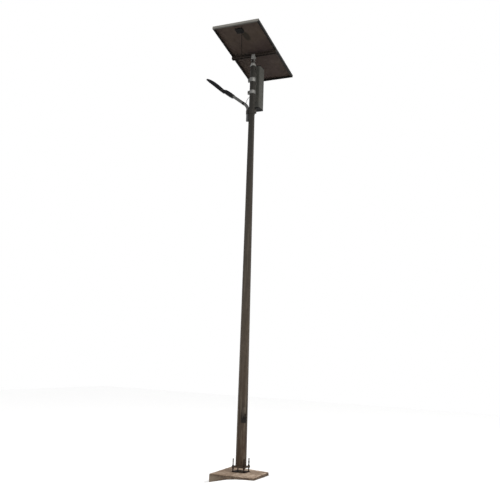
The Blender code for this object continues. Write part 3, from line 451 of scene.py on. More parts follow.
def loft(rings, closed_ends=True, wrap=False):
    """Rings of points with the same count, joined with quads."""
    bm = bmesh.new()
    rows = [[bm.verts.new(p) for p in ring] for ring in rings]
    pairs = list(zip(rows, rows[1:]))
    if wrap:
        pairs.append((rows[-1], rows[0]))
    for low, high in pairs:
        for i in range(len(low)):
            j = (i + 1) % len(low)
            bm.faces.new((low[i], low[j], high[j], high[i]))
    if closed_ends and not wrap:
        bm.faces.new(rows[0])
        bm.faces.new(rows[-1])
    return bm


def turned(profile, sides=32, reach=None, wrap=False):
    """A turned shape from (radius, height) pairs; reach(angle) stretches it into a polygon."""
    rings = []
    for radius, height in profile:
        ring = []
        for i in range(sides):
            angle = 2 * math.pi * i / sides
            r = radius * (reach(angle) if reach else 1.0)
            ring.append((r * math.cos(angle), r * math.sin(angle), height))
        rings.append(ring)
    return loft(rings, wrap=wrap)


def polygon_reach(sides, turn=0.0):
    step = 2 * math.pi / sides
    return lambda angle: 1 / math.cos((angle - turn + step / 2) % step - step / 2)


def hex_nut(flats, height, bore, sides=36):
    """A chamfered hexagon nut, from its lower face up."""
    reach = polygon_reach(6)
    half, flat = flats / 2, flats / 2 * 0.97
    slope = math.tan(math.radians(30))
    rings = []
    for level in range(6):
        ring = []
        for i in range(sides):
            angle = 2 * math.pi * i / sides
            corner = half * reach(angle)
            drop = (corner - flat) * slope
            radius, z = ((bore, 0.0), (flat, 0.0), (corner, drop), (corner, height - drop),
                         (flat, height), (bore, height))[level]
            ring.append((radius * math.cos(angle), radius * math.sin(angle), z))
        rings.append(ring)
    return loft(rings, wrap=True)


def add_to(bm, other, place=None):
    """Puts one bmesh's shape into another."""
    mesh = bpy.data.meshes.new("joined")
    other.to_mesh(mesh)
    other.free()
    if place is not None:
        mesh.transform(place)
    bm.from_mesh(mesh)
    bpy.data.meshes.remove(mesh)
    return bm


def block(low, high, bevel=0.0008, segments=2):
    bm = bmesh.new()
    bmesh.ops.create_cube(bm, size=1.0)
    size = Vector(high) - Vector(low)
    bmesh.ops.scale(bm, vec=size, verts=bm.verts)
    bmesh.ops.translate(bm, vec=(Vector(high) + Vector(low)) / 2, verts=bm.verts)
    if bevel:
        bmesh.ops.bevel(bm, geom=bm.edges[:], offset=bevel, segments=segments, profile=0.5,
                        affect="EDGES", clamp_overlap=True)
    return bm


def smooth_route(points, samples):
    """Evenly stepped points on a Catmull-Rom curve through the given ones."""
    points = [Vector(p) for p in points]
    ends = [points[0] * 2 - points[1]] + points + [points[-1] * 2 - points[-2]]
    spans = len(points) - 1
    route = []
    for step in range(samples + 1):
        place = step * spans / samples
        i = min(int(place), spans - 1)
        t = place - i
        a, b, c, d = ends[i:i + 4]
        route.append((b * 2 + (c - a) * t + (a * 2 - b * 5 + c * 4 - d) * t * t
                      + (b * 3 - a - c * 3 + d) * t * t * t) / 2)
    return route


def swept(route, radius, sides=24, bore=None):
    """A round bar or pipe along a route; radius may be one size or one for each point."""
    route = [Vector(p) for p in route]
    radii = [radius] * len(route) if isinstance(radius, (int, float)) else radius
    side = (route[1] - route[0]).orthogonal().normalized()
    outer, inner = [], []
    for i, centre in enumerate(route):
        ahead = (route[min(i + 1, len(route) - 1)] - route[max(i - 1, 0)]).normalized()
        side = (side - ahead * side.dot(ahead)).normalized()
        up = ahead.cross(side)
        for rings, r in ((outer, radii[i]), (inner, bore)):
            if r:
                rings.append([centre + (side * math.cos(a) + up * math.sin(a)) * r
                              for a in (2 * math.pi * k / sides for k in range(sides))])
    if bore:
        return loft(outer + inner[::-1], wrap=True)
    return loft(outer)


def aim(axis, at=(0, 0, 0)):
    """Places a shape made along +Z at a point, along an axis."""
    turn = Vector((0, 0, 1)).rotation_difference(Vector(axis)).to_matrix().to_4x4()
    return Matrix.Translation(at) @ turn


def raised(height):
    return Matrix.Translation((0, 0, height))


# ---- camera, floor and light --------------------------------------------------------------------
PAD_CORNERS = ((-0.27, -0.36), (0.345, -0.375), (0.31, 0.19), (-0.31, 0.39))
PAD_HEIGHT = 0.12


BANK_HEIGHTS = (0.0, 0.042, 0.070, 0.084, 0.090, 0.092)
BANK_FALL = 0.010
FLOOR_HEIGHT = -0.0005
CAMERA_PLACE = (3.912, -8.624, 1.517)
CAMERA_HEADING, CAMERA_PITCH, CAMERA_ROLL = 24.2, 98.82, 1.72
LENS_MM = 51.59


def perimeter(corners, per_side):
    """Points round a closed outline, with the same count along each side."""
    points = []
    for a, b in zip(corners, corners[1:] + corners[:1]):
        for step in range(per_side):
            points.append(Vector(a).lerp(Vector(b), step / per_side))
    return points


def bank_height(side, along):
    """How high the floor stands against one of the pad's sides, at a share of its length."""
    if side == 0:
        place = along * (len(BANK_HEIGHTS) - 1)
        low = min(int(place), len(BANK_HEIGHTS) - 2)
        return BANK_HEIGHTS[low] + (BANK_HEIGHTS[low + 1] - BANK_HEIGHTS[low]) * (place - low)
    if side == 1:
        return BANK_HEIGHTS[-1] - BANK_FALL * along
    if side == 2:
        return (BANK_HEIGHTS[-1] - BANK_FALL) * max(0.0, 1 - along * 1.5)
    return 0.0


def ground():
    """A level floor that rises a little against the pad's front and right sides."""
    per_side, count = 24, 12
    outline = perimeter([Vector((*c, 0)) for c in PAD_CORNERS], per_side)
    rings = []
    for step in range(count):
        spread = (step / (count - 1)) ** 1.6
        fall = (1 - spread) ** 2 * (1 + 2 * spread)
        ring = []
        for index, point in enumerate(outline):
            height = bank_height(*divmod(index / per_side, 1.0))
            place = point + point.normalized() * (0.002 + 1.3 * spread)
            ring.append((place.x, place.y, height * fall + FLOOR_HEIGHT))
        rings.append(ring)
    far = [(x * 60, y * 60, FLOOR_HEIGHT) for x, y, _ in rings[0]]
    under = [(x, y, FLOOR_HEIGHT) for x, y, _ in rings[0]]
    bm = loft([under] + rings + [far], closed_ends=False)
    bm.faces.new(bm.verts[:len(outline)])
    return bm


def build_stage():
    camera = bpy.data.cameras.new("camera")
    camera.lens = LENS_MM
    holder = bpy.data.objects.new("camera", camera)
    holder.matrix_world = (Matrix.Translation(CAMERA_PLACE)
                           @ Matrix.Rotation(math.radians(CAMERA_HEADING), 4, "Z")
                           @ Matrix.Rotation(math.radians(CAMERA_PITCH), 4, "X")
                           @ Matrix.Rotation(math.radians(CAMERA_ROLL), 4, "Z"))
    bpy.context.scene.collection.objects.link(holder)
    bpy.context.scene.camera = holder

    pale = bpy.data.materials.new("pale_floor")
    pale.use_nodes = True
    shader = pale.node_tree.nodes["Principled BSDF"]
    shader.inputs["Base Color"].default_value = (0.95, 0.95, 0.95, 1)
    shader.inputs["Roughness"].default_value = 0.9
    floor = new_object("floor", ground(), pale)

    world = bpy.data.worlds.new("studio")
    world.use_nodes = True
    background = world.node_tree.nodes["Background"]
    background.inputs["Color"].default_value = (1.0, 1.0, 1.0, 1)
    background.inputs["Strength"].default_value = 1.0
    bpy.context.scene.world = world
    bpy.context.scene.view_settings.view_transform = "Standard"
    lights = (("key", (9.0, -4.0, 8.5), (0, 0, 3.6), 4.0, 800.0, (1.0, 0.97, 0.92)),
              ("fill", (-3.0, -9.0, 6.0), (0, 0, 3.0), 4.0, 120.0, (0.97, 0.98, 1.0)))
    for name, place, target, size, power, colour in lights:
        lamp = bpy.data.lights.new(name, "AREA")
        lamp.size = size
        lamp.energy = power
        lamp.color = colour
        holder = bpy.data.objects.new(name, lamp)
        holder.location = place
        holder.rotation_euler = (Vector(target) - Vector(place)).to_track_quat("-Z", "Y").to_euler()
        bpy.context.scene.collection.objects.link(holder)


build_stage()


# ---- footing ------------------------------------------------------------------------------------
BOLT_PLACES = [(0.076 * sx, 0.076 * sy) for sx, sy in ((1, 1), (-1, 1), (-1, -1), (1, -1))]
FLANGE_UNDERSIDE, FLANGE_TOP = 0.178, 0.190
BOLT_RADIUS, THREAD_PITCH, THREAD_DEPTH = 0.008, 0.002, 0.0009
NUT_FLATS, NUT_HEIGHT, NUT_BORE = 0.024, 0.013, 0.0086
WASHER_RADIUS, WASHER_BORE, WASHER_THICK = 0.015, 0.0087, 0.003


def build_pad():
    """A rough slab: soft broken edges, chips at the rim and a trowelled top."""
    outline = perimeter([Vector((*c, 0)) for c in PAD_CORNERS], 56)
    centre = sum(outline, Vector()) / len(outline)
    levels = [(0.0, 0.994), (0.0, 1.0), (0.02, 1.0), (0.04, 1.0), (0.06, 1.0), (0.08, 1.0), (0.095, 1.0),
              (0.106, 0.999), (0.113, 0.996), (0.1175, 0.990), (PAD_HEIGHT, 0.980)]
    levels += [(PAD_HEIGHT, 0.98 * (1 - step / 30)) for step in range(1, 29)]
    bm = loft([[centre + (p - centre) * scale + Vector((0, 0, z)) for p in outline]
               for z, scale in levels])
    for vert in bm.verts:
        out = Vector((vert.co.x - centre.x, vert.co.y - centre.y, 0)).normalized()
        wave = noise.noise(vert.co * 9.0) * 0.5 + 0.5
        chip = max(0.0, noise.noise(vert.co * 26.0 + Vector((7, 3, 1)))) ** 2
        rim = min(1.0, max(0.0, (vert.co.z - 0.02) / 0.06))
        vert.co -= out * (0.004 * wave + 0.016 * chip * rim)
        on_top = vert.co.z > PAD_HEIGHT - 0.003
        vert.co.z -= (0.0016 * wave + 0.010 * chip * (1.0 if on_top else 0.4)) * rim * (
            1.0 if vert.co.xy.length > 0.19 else 0.25)
    finish_piece("cast_pad", bm, "concrete", "pole", replaces=("foundation_block",), sharp=70)


def build_stud(x, y, name):
    """A stud with its thread cut from the pad to the top."""
    sides, steps = 16, 4
    low, high = 0.0202, 0.290
    thread_low = PAD_HEIGHT - 0.02
    angles = [2 * math.pi * k / sides for k in range(sides)]
    shank = BOLT_RADIUS - 0.0001
    rings = [[(x + shank * math.cos(a), y + shank * math.sin(a), z) for a in angles]
             for z in (low, thread_low)]
    count = int((high - thread_low) / THREAD_PITCH * steps)
    for step in range(1, count):
        z = thread_low + step * THREAD_PITCH / steps
        ring = []
        taper = max(0.0, (z - high + 0.003)) * 0.6
        for k, angle in enumerate(angles):
            phase = (z / THREAD_PITCH - k / sides) % 1.0
            radius = shank - abs(phase - 0.5) * 2 * THREAD_DEPTH - taper
            ring.append((x + radius * math.cos(angle), y + radius * math.sin(angle), z))
        rings.append(ring)
    finish_piece(name + "_threaded", loft(rings), "rust", "pole", replaces=(name,), sharp=80)


def washer(radius, bore, thick):
    return turned(((bore, 0), (radius - 0.0004, 0), (radius, 0.0005), (radius, thick - 0.0005),
                   (radius - 0.0004, thick), (bore, thick)), 40, wrap=True)


def build_base():
    build_pad()
    refine("anchor_template", "rust", 0.0010)
    refine("base_flange", "pole", 0.0010)
    spin = random.Random(4)
    for index, (x, y) in enumerate(BOLT_PLACES, start=1):
        build_stud(x, y, f"anchor_bolt_{index}")
        turn = Matrix.Translation((x, y, 0)) @ Matrix.Rotation(spin.uniform(0, 1), 4, "Z")
        levelling_low = FLANGE_UNDERSIDE - NUT_HEIGHT - WASHER_THICK - 0.0003
        nuts = (("levelling_nut", levelling_low, 0.0, NUT_HEIGHT),
                ("top_nut", FLANGE_TOP + 0.0003, WASHER_THICK, 0.0))
        for kind, low, nut_low, washer_low in nuts:
            nut = add_to(bmesh.new(), hex_nut(NUT_FLATS, NUT_HEIGHT, NUT_BORE), raised(nut_low))
            add_to(nut, washer(WASHER_RADIUS, WASHER_BORE, WASHER_THICK), raised(washer_low))
            finish_piece(f"{kind}_{index}_finished", nut, "rust", "pole", turn @ raised(low),
                         (f"{kind}_{index}",))
    x, y = BOLT_PLACES[0]
    finish_piece("lock_nut_finished", hex_nut(NUT_FLATS, NUT_HEIGHT, NUT_BORE), "rust", "pole",
                 Matrix.Translation((x, y, PAD_HEIGHT + 0.113)) @ Matrix.Rotation(0.4, 4, "Z"),
                 ("lock_nut",))


def weld(route, radius, name, look="pole", body="pole"):
    """A rippled bead of weld along a route."""
    route = [Vector(p) for p in route]
    points = []
    for a, b in zip(route, route[1:]):
        count = max(2, int((b - a).length / (radius * 0.7)))
        points += [a.lerp(b, step / count) for step in range(count)]
    points.append(route[-1])
    radii = [radius * (0.85 + 0.25 * abs(math.sin(i * 1.3)) + 0.1 * noise.noise(p * 90))
             for i, p in enumerate(points)]
    radii[0] = radii[-1] = radius * 0.3
    return finish_piece(name, swept(points, radii, 10), look, body, sharp=80)


def octagon_ring(height, grow):
    apothem = pole_apothem(height) + grow
    corner = apothem / math.cos(math.radians(22.5))
    return [Vector((corner * math.cos(math.radians(22.5 + 45 * k)),
                    corner * math.sin(math.radians(22.5 + 45 * k)), height)) for k in range(9)]


def build_welds():
    weld(octagon_ring(FLANGE_TOP + 0.0015, 0.0015), 0.0032, "foot_weld")


# ---- pole, door and switchgear ------------------------------------------------------------------
def build_pole_looks():
    refine("pole_shaft", "pole", 0.0008, 2, long_width=0.0035)
    angle = math.radians(157.5)
    seam = []
    for step in range(61):
        z = 0.215 + (4.86 - 0.215) * step / 60
        corner = pole_apothem(z) / math.cos(math.radians(22.5)) - 0.0006
        seam.append((corner * math.cos(angle), corner * math.sin(angle), z))
    finish_piece("pole_seam", swept(seam, 0.0016, 8), "pole", "pole")
    for node, look, width in (("access_door", "pole", 0.0008), ("door_lock", "rust", 0.0004),
                              ("door_hinge", "pole", 0.0004), ("mounting_board", "white", 0.0005),
                              ("circuit_breaker", "white", 0.0006), ("breaker_lever", "black", 0.0005)):
        refine(node, look, width)


def door_place(x, y, z):
    """A point in the door facet's frame: X across, Y into the pole, Z up along it."""
    origin = Vector((0.04365, -0.04365, 0.835))
    axes = (Vector((0.70711, 0.70711, 0)), Vector((-0.70709, 0.70709, -0.00585)),
            Vector((-0.00414, 0.00414, 0.99998)))
    return origin + axes[0] * x + axes[1] * y + axes[2] * z


def build_switch_details():
    """Terminal screws on the breaker and the two cores that leave it."""
    inward = door_place(0, 1, 0) - door_place(0, 0, 0)
    for row, z in enumerate((0.053, -0.013)):
        for column, x in enumerate((-0.0148, -0.0052)):
            screw = turned(((0.0008, -0.0002), (0.0024, -0.0002), (0.0026, 0.0004), (0.0022, 0.0010),
                            (0.0004, 0.0010)), 20)
            finish_piece(f"terminal_screw_{row * 2 + column + 1}", screw, "fixings", "pole",
                         aim(-inward, door_place(x, 0.0237, z)))
    for index, (x, look) in enumerate(((-0.0145, "black"), (-0.0055, "blue"))):
        core = [door_place(x, 0.048, -0.019), door_place(x, 0.047, -0.030),
                door_place(x * 0.8 + 0.004, 0.050, -0.046), door_place(x * 0.7 + 0.008, 0.056, -0.062)]
        finish_piece(f"breaker_core_{index + 1}", swept(smooth_route(core, 20), 0.0014, 12), look, "pole")


# ---- battery box --------------------------------------------------------------------------------
BOX_HALF, BOX_NEAR, BOX_FAR = 0.075, 0.0703, 0.2253
BOX_BOTTOM, BOX_TOP, CAP_HEIGHT = 4.990, 5.610, 0.012
GLAND_Y = 0.105
CLAMP_HEIGHTS = {"lower": (5.170, 5.222), "upper": (5.346, 5.404)}


def rounded_outline(half_x, low_y, high_y, radius, per_corner=7, rib=0.0):
    """A rounded rectangle, with shallow pressed ribs along its straight sides if asked."""
    points = []
    corners = ((half_x - radius, low_y + radius, -90), (half_x - radius, high_y - radius, 0),
               (-half_x + radius, high_y - radius, 90), (-half_x + radius, low_y + radius, 180))
    for index, (x, y, start) in enumerate(corners):
        for step in range(per_corner + 1):
            angle = math.radians(start + 90 * step / per_corner)
            points.append((x + radius * math.cos(angle), y + radius * math.sin(angle)))
        if rib:
            nx, ny = corners[(index + 1) % 4][:2]
            out = math.radians(start + 90)
            length = math.hypot(nx - x, ny - y)
            for groove in (0.22, 0.78):
                for along, deep in ((-0.0045, 0.0), (-0.0025, 1.0), (0.0025, 1.0), (0.0045, 0.0)):
                    t = groove + along / length
                    points.append((x + (nx - x) * t + (radius - rib * deep) * math.cos(out),
                                   y + (ny - y) * t + (radius - rib * deep) * math.sin(out)))
    return points


def cap_screw(radius=0.0038, height=0.0022):
    """A pan head with a round socket."""
    return turned(((radius * 0.45, 0.0), (radius, 0.0), (radius * 0.98, height * 0.4),
                   (radius * 0.80, height * 0.8), (radius * 0.5, height), (radius * 0.46, height * 0.95),
                   (radius * 0.42, height * 0.3)), 30)


def build_box():
    case_low, case_high = BOX_BOTTOM + CAP_HEIGHT + 0.0003, BOX_TOP - CAP_HEIGHT - 0.0003
    outline = rounded_outline(BOX_HALF, BOX_NEAR, BOX_FAR, 0.012, rib=0.0012)
    inner = rounded_outline(BOX_HALF - 0.0036, BOX_NEAR + 0.0036, BOX_FAR - 0.0036, 0.0095, rib=0.0001)
    levels = [case_low, case_low + 0.001] + [case_low + (case_high - case_low) * k / 12 for k in range(1, 12)]
    levels += [case_high - 0.001, case_high]
    outer_rings = [[(x, y, z) for x, y in outline] for z in levels]
    inner_rings = [[(x, y, z) for x, y in inner] for z in levels]
    finish_piece("battery_case_extruded", loft(outer_rings + inner_rings[::-1], wrap=True), "box", "pole",
                 replaces=("battery_case",), sharp=25)
    for name, low, up in (("battery_bottom_cap", BOX_BOTTOM, -1), ("battery_top_cap", BOX_TOP, 1)):
        flat = rounded_outline(BOX_HALF, BOX_NEAR, BOX_FAR, 0.012)
        centre = Vector((0, (BOX_NEAR + BOX_FAR) / 2))
        rings = []
        for depth, inset in ((CAP_HEIGHT, 0.0), (0.0035, 0.0), (0.0010, 0.0010), (0.0, 0.0035),
                             (0.0, 0.012), (0.0012, 0.0135), (0.0012, 0.040)):
            z = low - up * depth
            shrink = [Vector(p) - centre for p in flat]
            rings.append([(*(centre + Vector((p.x * (1 - inset / BOX_HALF), p.y * (1 - inset / 0.0775)))), z)
                          for p in shrink])
        bm = loft(rings)
        for sx in (-1, 1):
            for y in (BOX_NEAR + 0.008, BOX_FAR - 0.008):
                add_to(bm, cap_screw(0.0030, 0.0010),
                       aim((0, 0, up), (sx * (BOX_HALF - 0.0085), y, low - up * 0.0012)))
        if up < 0:
            add_to(bm, gland(0.010, 0.0045, 0.0160), aim((0, 0, -1), (0, GLAND_Y, BOX_BOTTOM + 0.0005)))
            plug = turned(((0.002, 0), (0.0075, 0), (0.0075, 0.0012), (0.0060, 0.0024), (0.002, 0.0024)), 6)
            add_to(bm, plug, aim((0, 0, -1), (0.035, 0.170, BOX_BOTTOM + 0.0012)))
        finish_piece(name + "_moulded", bm, "black", "pole", replaces=(name,))
    refine("battery_rail", "fixings", 0.0008)
    refine("battery_pack", "blue", 0.002, 3)
    refine("charge_controller", "black", 0.002, 3)


def gland(radius, cable, height):
    """A cable gland: hexagon base, fluted nut and a rubber lip."""
    bm = turned(((cable, 0), (radius, 0), (radius, height * 0.30), (cable, height * 0.30)), 6, wrap=True)
    flutes = 12
    reach = lambda angle: 1.0 - 0.05 * (0.5 + 0.5 * math.cos(angle * flutes))
    add_to(bm, turned(((cable, height * 0.30), (radius * 0.92, height * 0.30), (radius * 0.92, height * 0.72),
                       (radius * 0.74, height * 0.93), (cable + 0.0008, height), (cable, height * 0.98)),
                      72, reach, wrap=True))
    return bm


def clamp_bolt():
    """A bolt along Z across a clamp's ears, with its nut."""
    bm = swept([(0, 0, -0.018), (0, 0, 0.0215), (0, 0, 0.022)], [0.0049, 0.0049, 0.0044], 20)
    add_to(bm, hex_nut(0.0168, 0.0067, 0.0046), raised(-0.0165))
    return add_to(bm, hex_nut(0.0168, 0.0066, 0.0046), raised(0.0112))


def build_clamps():
    for name, (low, high) in CLAMP_HEIGHTS.items():
        refine(f"clamp_{name}", "zinc", 0.0009)
        middle = (low + high) / 2
        x = -(pole_apothem(low) + 0.032) + 0.010
        bm = add_to(clamp_bolt(), washer(0.0096, 0.0051, 0.0013), raised(0.0098))
        finish_piece(f"clamp_bolt_{name}_finished", bm, "fixings", "pole", aim((0, 1, 0), (x, 0, middle)),
                     (f"clamp_bolt_{name}",))
        for side in (-1, 1):
            screw = add_to(hex_nut(0.013, 0.0042, 0.0005), washer(0.0078, 0.0004, 0.0010), raised(-0.001))
            finish_piece(f"rail_bolt_{name}_{side + 2}", screw, "zinc", "pole",
                         aim((0, 1, 0), (side * 0.009, pole_apothem(middle) + 0.0091, middle)))


# ---- arm ----------------------------------------------------------------------------------------
ARM_LOW, ARM_BEND, BEND_RADIUS, ARM_STRAIGHT = 4.785, 4.938, 0.120, 0.288
ARM_X = -(pole_apothem(ARM_LOW) + 0.0003 + PIPE_RADIUS)
ARM_CLAMP = (4.883, 4.940)
LAMP_CABLE_HEIGHT, BATTERY_CABLE_HEIGHT = 5.125, 4.872
SLOPE = Vector((-math.cos(ARM_SLOPE), 0, math.sin(ARM_SLOPE)))
ARM_SIDE = Vector((SLOPE.z, 0, -SLOPE.x))
TURN = math.radians(90) - ARM_SLOPE
BEND_END = Vector((ARM_X - BEND_RADIUS * (1 - math.cos(TURN)), 0, ARM_BEND + BEND_RADIUS * math.sin(TURN)))


def arm_route():
    route = [Vector((ARM_X, 0, ARM_LOW)), Vector((ARM_X, 0, ARM_LOW + 0.001)), Vector((ARM_X, 0, ARM_BEND))]
    for step in range(1, 25):
        angle = TURN * step / 24
        route.append(Vector((ARM_X - BEND_RADIUS * (1 - math.cos(angle)), 0,
                             ARM_BEND + BEND_RADIUS * math.sin(angle))))
    return route + [BEND_END + SLOPE * ARM_STRAIGHT]


def ring_lip(radius, tube, sides=40, around=12):
    """A round rubber lip lying flat."""
    rings = []
    for k in range(around):
        angle = 2 * math.pi * k / around
        r, z = radius + tube * math.cos(angle), tube * math.sin(angle)
        rings.append([(r * math.cos(2 * math.pi * i / sides), r * math.sin(2 * math.pi * i / sides), z)
                      for i in range(sides)])
    return loft(rings, wrap=True)


def build_arm_looks():
    finish_piece("arm_pipe_bent", swept(arm_route(), PIPE_RADIUS, 48, PIPE_RADIUS - PIPE_WALL), "arm", "pole",
                 replaces=("arm_pipe",))
    refine("arm_clamp", "pole", 0.0008)
    tape = []
    for step in range(15):
        tape.append(BEND_END + SLOPE * (0.010 + 0.028 * step / 14))
    radii = [PIPE_RADIUS + 0.0008 + 0.0004 * (step % 3 == 0) for step in range(15)]
    finish_piece("arm_tape", swept(tape, radii, 40, PIPE_RADIUS + 0.0001), "black", "pole")
    middle = sum(ARM_CLAMP) / 2
    x = pole_apothem(ARM_CLAMP[0]) + 0.018
    finish_piece("arm_clamp_bolt", clamp_bolt(), "fixings", "pole", aim((0, 1, 0), (x, 0, middle)))
    lamp_side = pole_apothem(LAMP_CABLE_HEIGHT) + 0.0004
    box_side = pole_apothem(BATTERY_CABLE_HEIGHT) + 0.0004
    holes = (("lamp_cable_grommet", (-lamp_side, 0, LAMP_CABLE_HEIGHT), (-1, 0, 0), 0.0056, 0.0026),
             ("battery_cable_grommet", (0, box_side, BATTERY_CABLE_HEIGHT), (0, 1, 0), 0.0068, 0.0023),
             ("arm_cable_grommet", BEND_END + ARM_SIDE * (PIPE_RADIUS + 0.0002), ARM_SIDE, 0.0045, 0.0015))
    for name, place, axis, radius, tube in holes:
        finish_piece(name, ring_lip(radius, tube), "black", "pole", aim(axis, place))


# ---- lamp ---------------------------------------------------------------------------------------
def profile_at(outline, x):
    for (x0, z0), (x1, z1) in zip(outline, outline[1:]):
        if x <= x1:
            t = (x - x0) / (x1 - x0)
            return z0 + (z1 - z0) * t
    return outline[-1][1]


def eased_profile(outline, x, reach=0.012):
    """The outline's height, with its corners rounded off."""
    return sum(profile_at(outline, min(max(x + reach * k / 3, outline[0][0]), outline[-1][0]))
               for k in range(-3, 4)) / 7


def shell_section(x, top, bottom, width, per_side=40, top_round=2.6, bottom_round=7.0):
    """One cross-section of a casting: domed above, nearly flat below."""
    high, low, half = eased_profile(top, x), eased_profile(bottom, x), eased_profile(width, x)
    parting = low + (high - low) * 0.38
    ring = []
    for k in range(per_side * 2):
        angle = math.pi * k / per_side
        power = top_round if k <= per_side else bottom_round
        c, s = math.cos(angle), math.sin(angle)
        y = half * math.copysign(abs(c) ** (2 / power), c)
        reach = (high - parting) if s >= 0 else (parting - low)
        ring.append((x, y, parting + reach * math.copysign(abs(s) ** (2 / power), s)))
    return ring


def cut_away(bm, cutter):
    """Subtracts a closed shape, with a boolean modifier."""
    meshes = []
    for shape in (bm, cutter):
        bmesh.ops.recalc_face_normals(shape, faces=shape.faces)
        mesh = bpy.data.meshes.new("cut")
        shape.to_mesh(mesh)
        shape.free()
        meshes.append(mesh)
    body, tool = (bpy.data.objects.new("cut", mesh) for mesh in meshes)
    for each in (body, tool):
        bpy.context.scene.collection.objects.link(each)
    boolean = body.modifiers.new("cut", "BOOLEAN")
    boolean.operation = "DIFFERENCE"
    boolean.solver = "EXACT"
    boolean.object = tool
    bpy.context.view_layer.update()
    result = bmesh.new()
    result.from_object(body, bpy.context.evaluated_depsgraph_get())
    for each in (body, tool):
        bpy.data.objects.remove(each)
    return result


HEAD_TOP = ((0.016, 0.019), (0.060, 0.0215), (0.120, 0.0265), (0.190, 0.029), (0.240, 0.027), (0.290, 0.020),
            (0.312, 0.009), (0.318, -0.002))
HEAD_LOW = ((0.016, -0.031), (0.310, -0.015), (0.318, -0.008))
HEAD_WIDTH = ((0.016, 0.070), (0.050, 0.086), (0.110, 0.0948), (0.230, 0.0948), (0.285, 0.090),
              (0.304, 0.082), (0.313, 0.066), (0.318, 0.040))
REAR_TOP = ((0.0, 0.0255), (0.040, 0.027), (0.095, 0.027), (0.140, 0.022), (0.168, 0.008))
REAR_LOW = ((0.0, -0.027), (0.028, -0.034), (0.150, -0.034), (0.168, -0.031))
REAR_WIDTH = ((0.0, 0.0275), (0.020, 0.030), (0.060, 0.0565), (0.090, 0.0588), (0.150, 0.0588),
              (0.168, 0.054))


def optic_frame():
    fall = math.atan2(0.0160, 0.294)
    return LAMP @ Matrix.Translation((0.016, 0, -0.031)) @ Matrix.Rotation(-fall, 4, "Y")


def rounded_slab(length, width, radius, low, high, edge=0.0006):
    outline = rounded_outline(length / 2, -width / 2, width / 2, radius, 8)
    rings = []
    for z, inset in ((low, edge), (low + edge, 0), (high - edge, 0), (high, edge)):
        rings.append([(x * (1 - 2 * inset / length), y * (1 - 2 * inset / width), z) for x, y in outline])
    return loft(rings)


def build_lamp_head():
    stations = [0.016 + 0.2990 * (step / 70) ** 0.97 for step in range(71)]
    bm = loft([shell_section(x, HEAD_TOP, HEAD_LOW, HEAD_WIDTH) for x in stations])
    bm = cut_away(bm, add_to(bmesh.new(), rounded_slab(0.235, 0.150, 0.020, -0.011, 0.011),
                             LAMP.inverted() @ optic_frame() @ Matrix.Translation((0.160, 0, 0))))
    add_to(bm, swept([(0, -0.0434, 0), (0, -0.0424, 0), (0, 0.0424, 0), (0, 0.0434, 0)],
                     [0.0102, 0.0110, 0.0110, 0.0102], 40, 0.0054))
    add_to(bm, block((0.0095, -0.0430, -0.009), (0.030, 0.0430, 0.009), 0.002, 3))
    finish_piece("lamp_casting_head", bm, "casting", "lamp", LAMP, ("lamp_body",), sharp=38)

    fins = bmesh.new()
    for index in range(-5, 6):
        y = index * 0.0135
        sections = []
        for step in range(25):
            x = 0.040 + 0.225 * step / 24
            high, low, half = (eased_profile(p, x) for p in (HEAD_TOP, HEAD_LOW, HEAD_WIDTH))
            parting = low + (high - low) * 0.38
            crown = parting + (high - parting) * (1 - min(0.999, abs(y / half)) ** 2.6) ** (1 / 2.6)
            rise = 0.0036 * math.sin(math.pi * step / 24) ** 0.4
            sections.append([(x, y - 0.0013, crown - 0.004), (x, y + 0.0013, crown - 0.004),
                             (x, y + 0.0010, crown + rise - 0.0006), (x, y + 0.0004, crown + rise),
                             (x, y - 0.0004, crown + rise), (x, y - 0.0010, crown + rise - 0.0006)])
        add_to(fins, loft(sections))
    finish_piece("lamp_cooling_fins", fins, "casting", "lamp", LAMP)

    tray = optic_frame() @ Matrix.Translation((0.160, 0, 0))
    finish_piece("led_board_finished", rounded_slab(0.230, 0.145, 0.018, 0.0082, 0.0106, 0.0003), "black",
                 "lamp", tray, ("led_board",))
    lens = rounded_slab(0.234, 0.149, 0.0195, 0.0002, 0.0042)
    chips = bmesh.new()
    for column in range(8):
        for row in range(4):
            x, y = -0.0945 + 0.027 * column, -0.0495 + 0.033 * row
            add_to(chips, block((x - 0.0025, y - 0.0025, 0.0072), (x + 0.0025, y + 0.0025, 0.0082), 0.0003))
            dome = turned(((0.0001, -0.0030), (0.0030, -0.0028), (0.0060, -0.0020), (0.0085, -0.0008),
                           (0.0098, 0.0006), (0.0001, 0.0006)), 28)
            add_to(lens, dome, Matrix.Translation((x, y, 0)) @ Matrix.Diagonal((1.15, 1.35, 1, 1)))
    finish_piece("led_chips", chips, "led", "lamp", tray)
    finish_piece("lamp_lens_moulded", lens, "lens", "lamp", tray, ("lamp_lens",), sharp=50)
    screws = bmesh.new()
    for x in (-0.112, -0.040, 0.040, 0.112):
        for side in (-1, 1):
            add_to(screws, cap_screw(0.0032, 0.0018), aim((0, 0, -1), (x, side * 0.0805, -0.0002)))
    finish_piece("lens_screws", screws, "fixings", "lamp", tray)


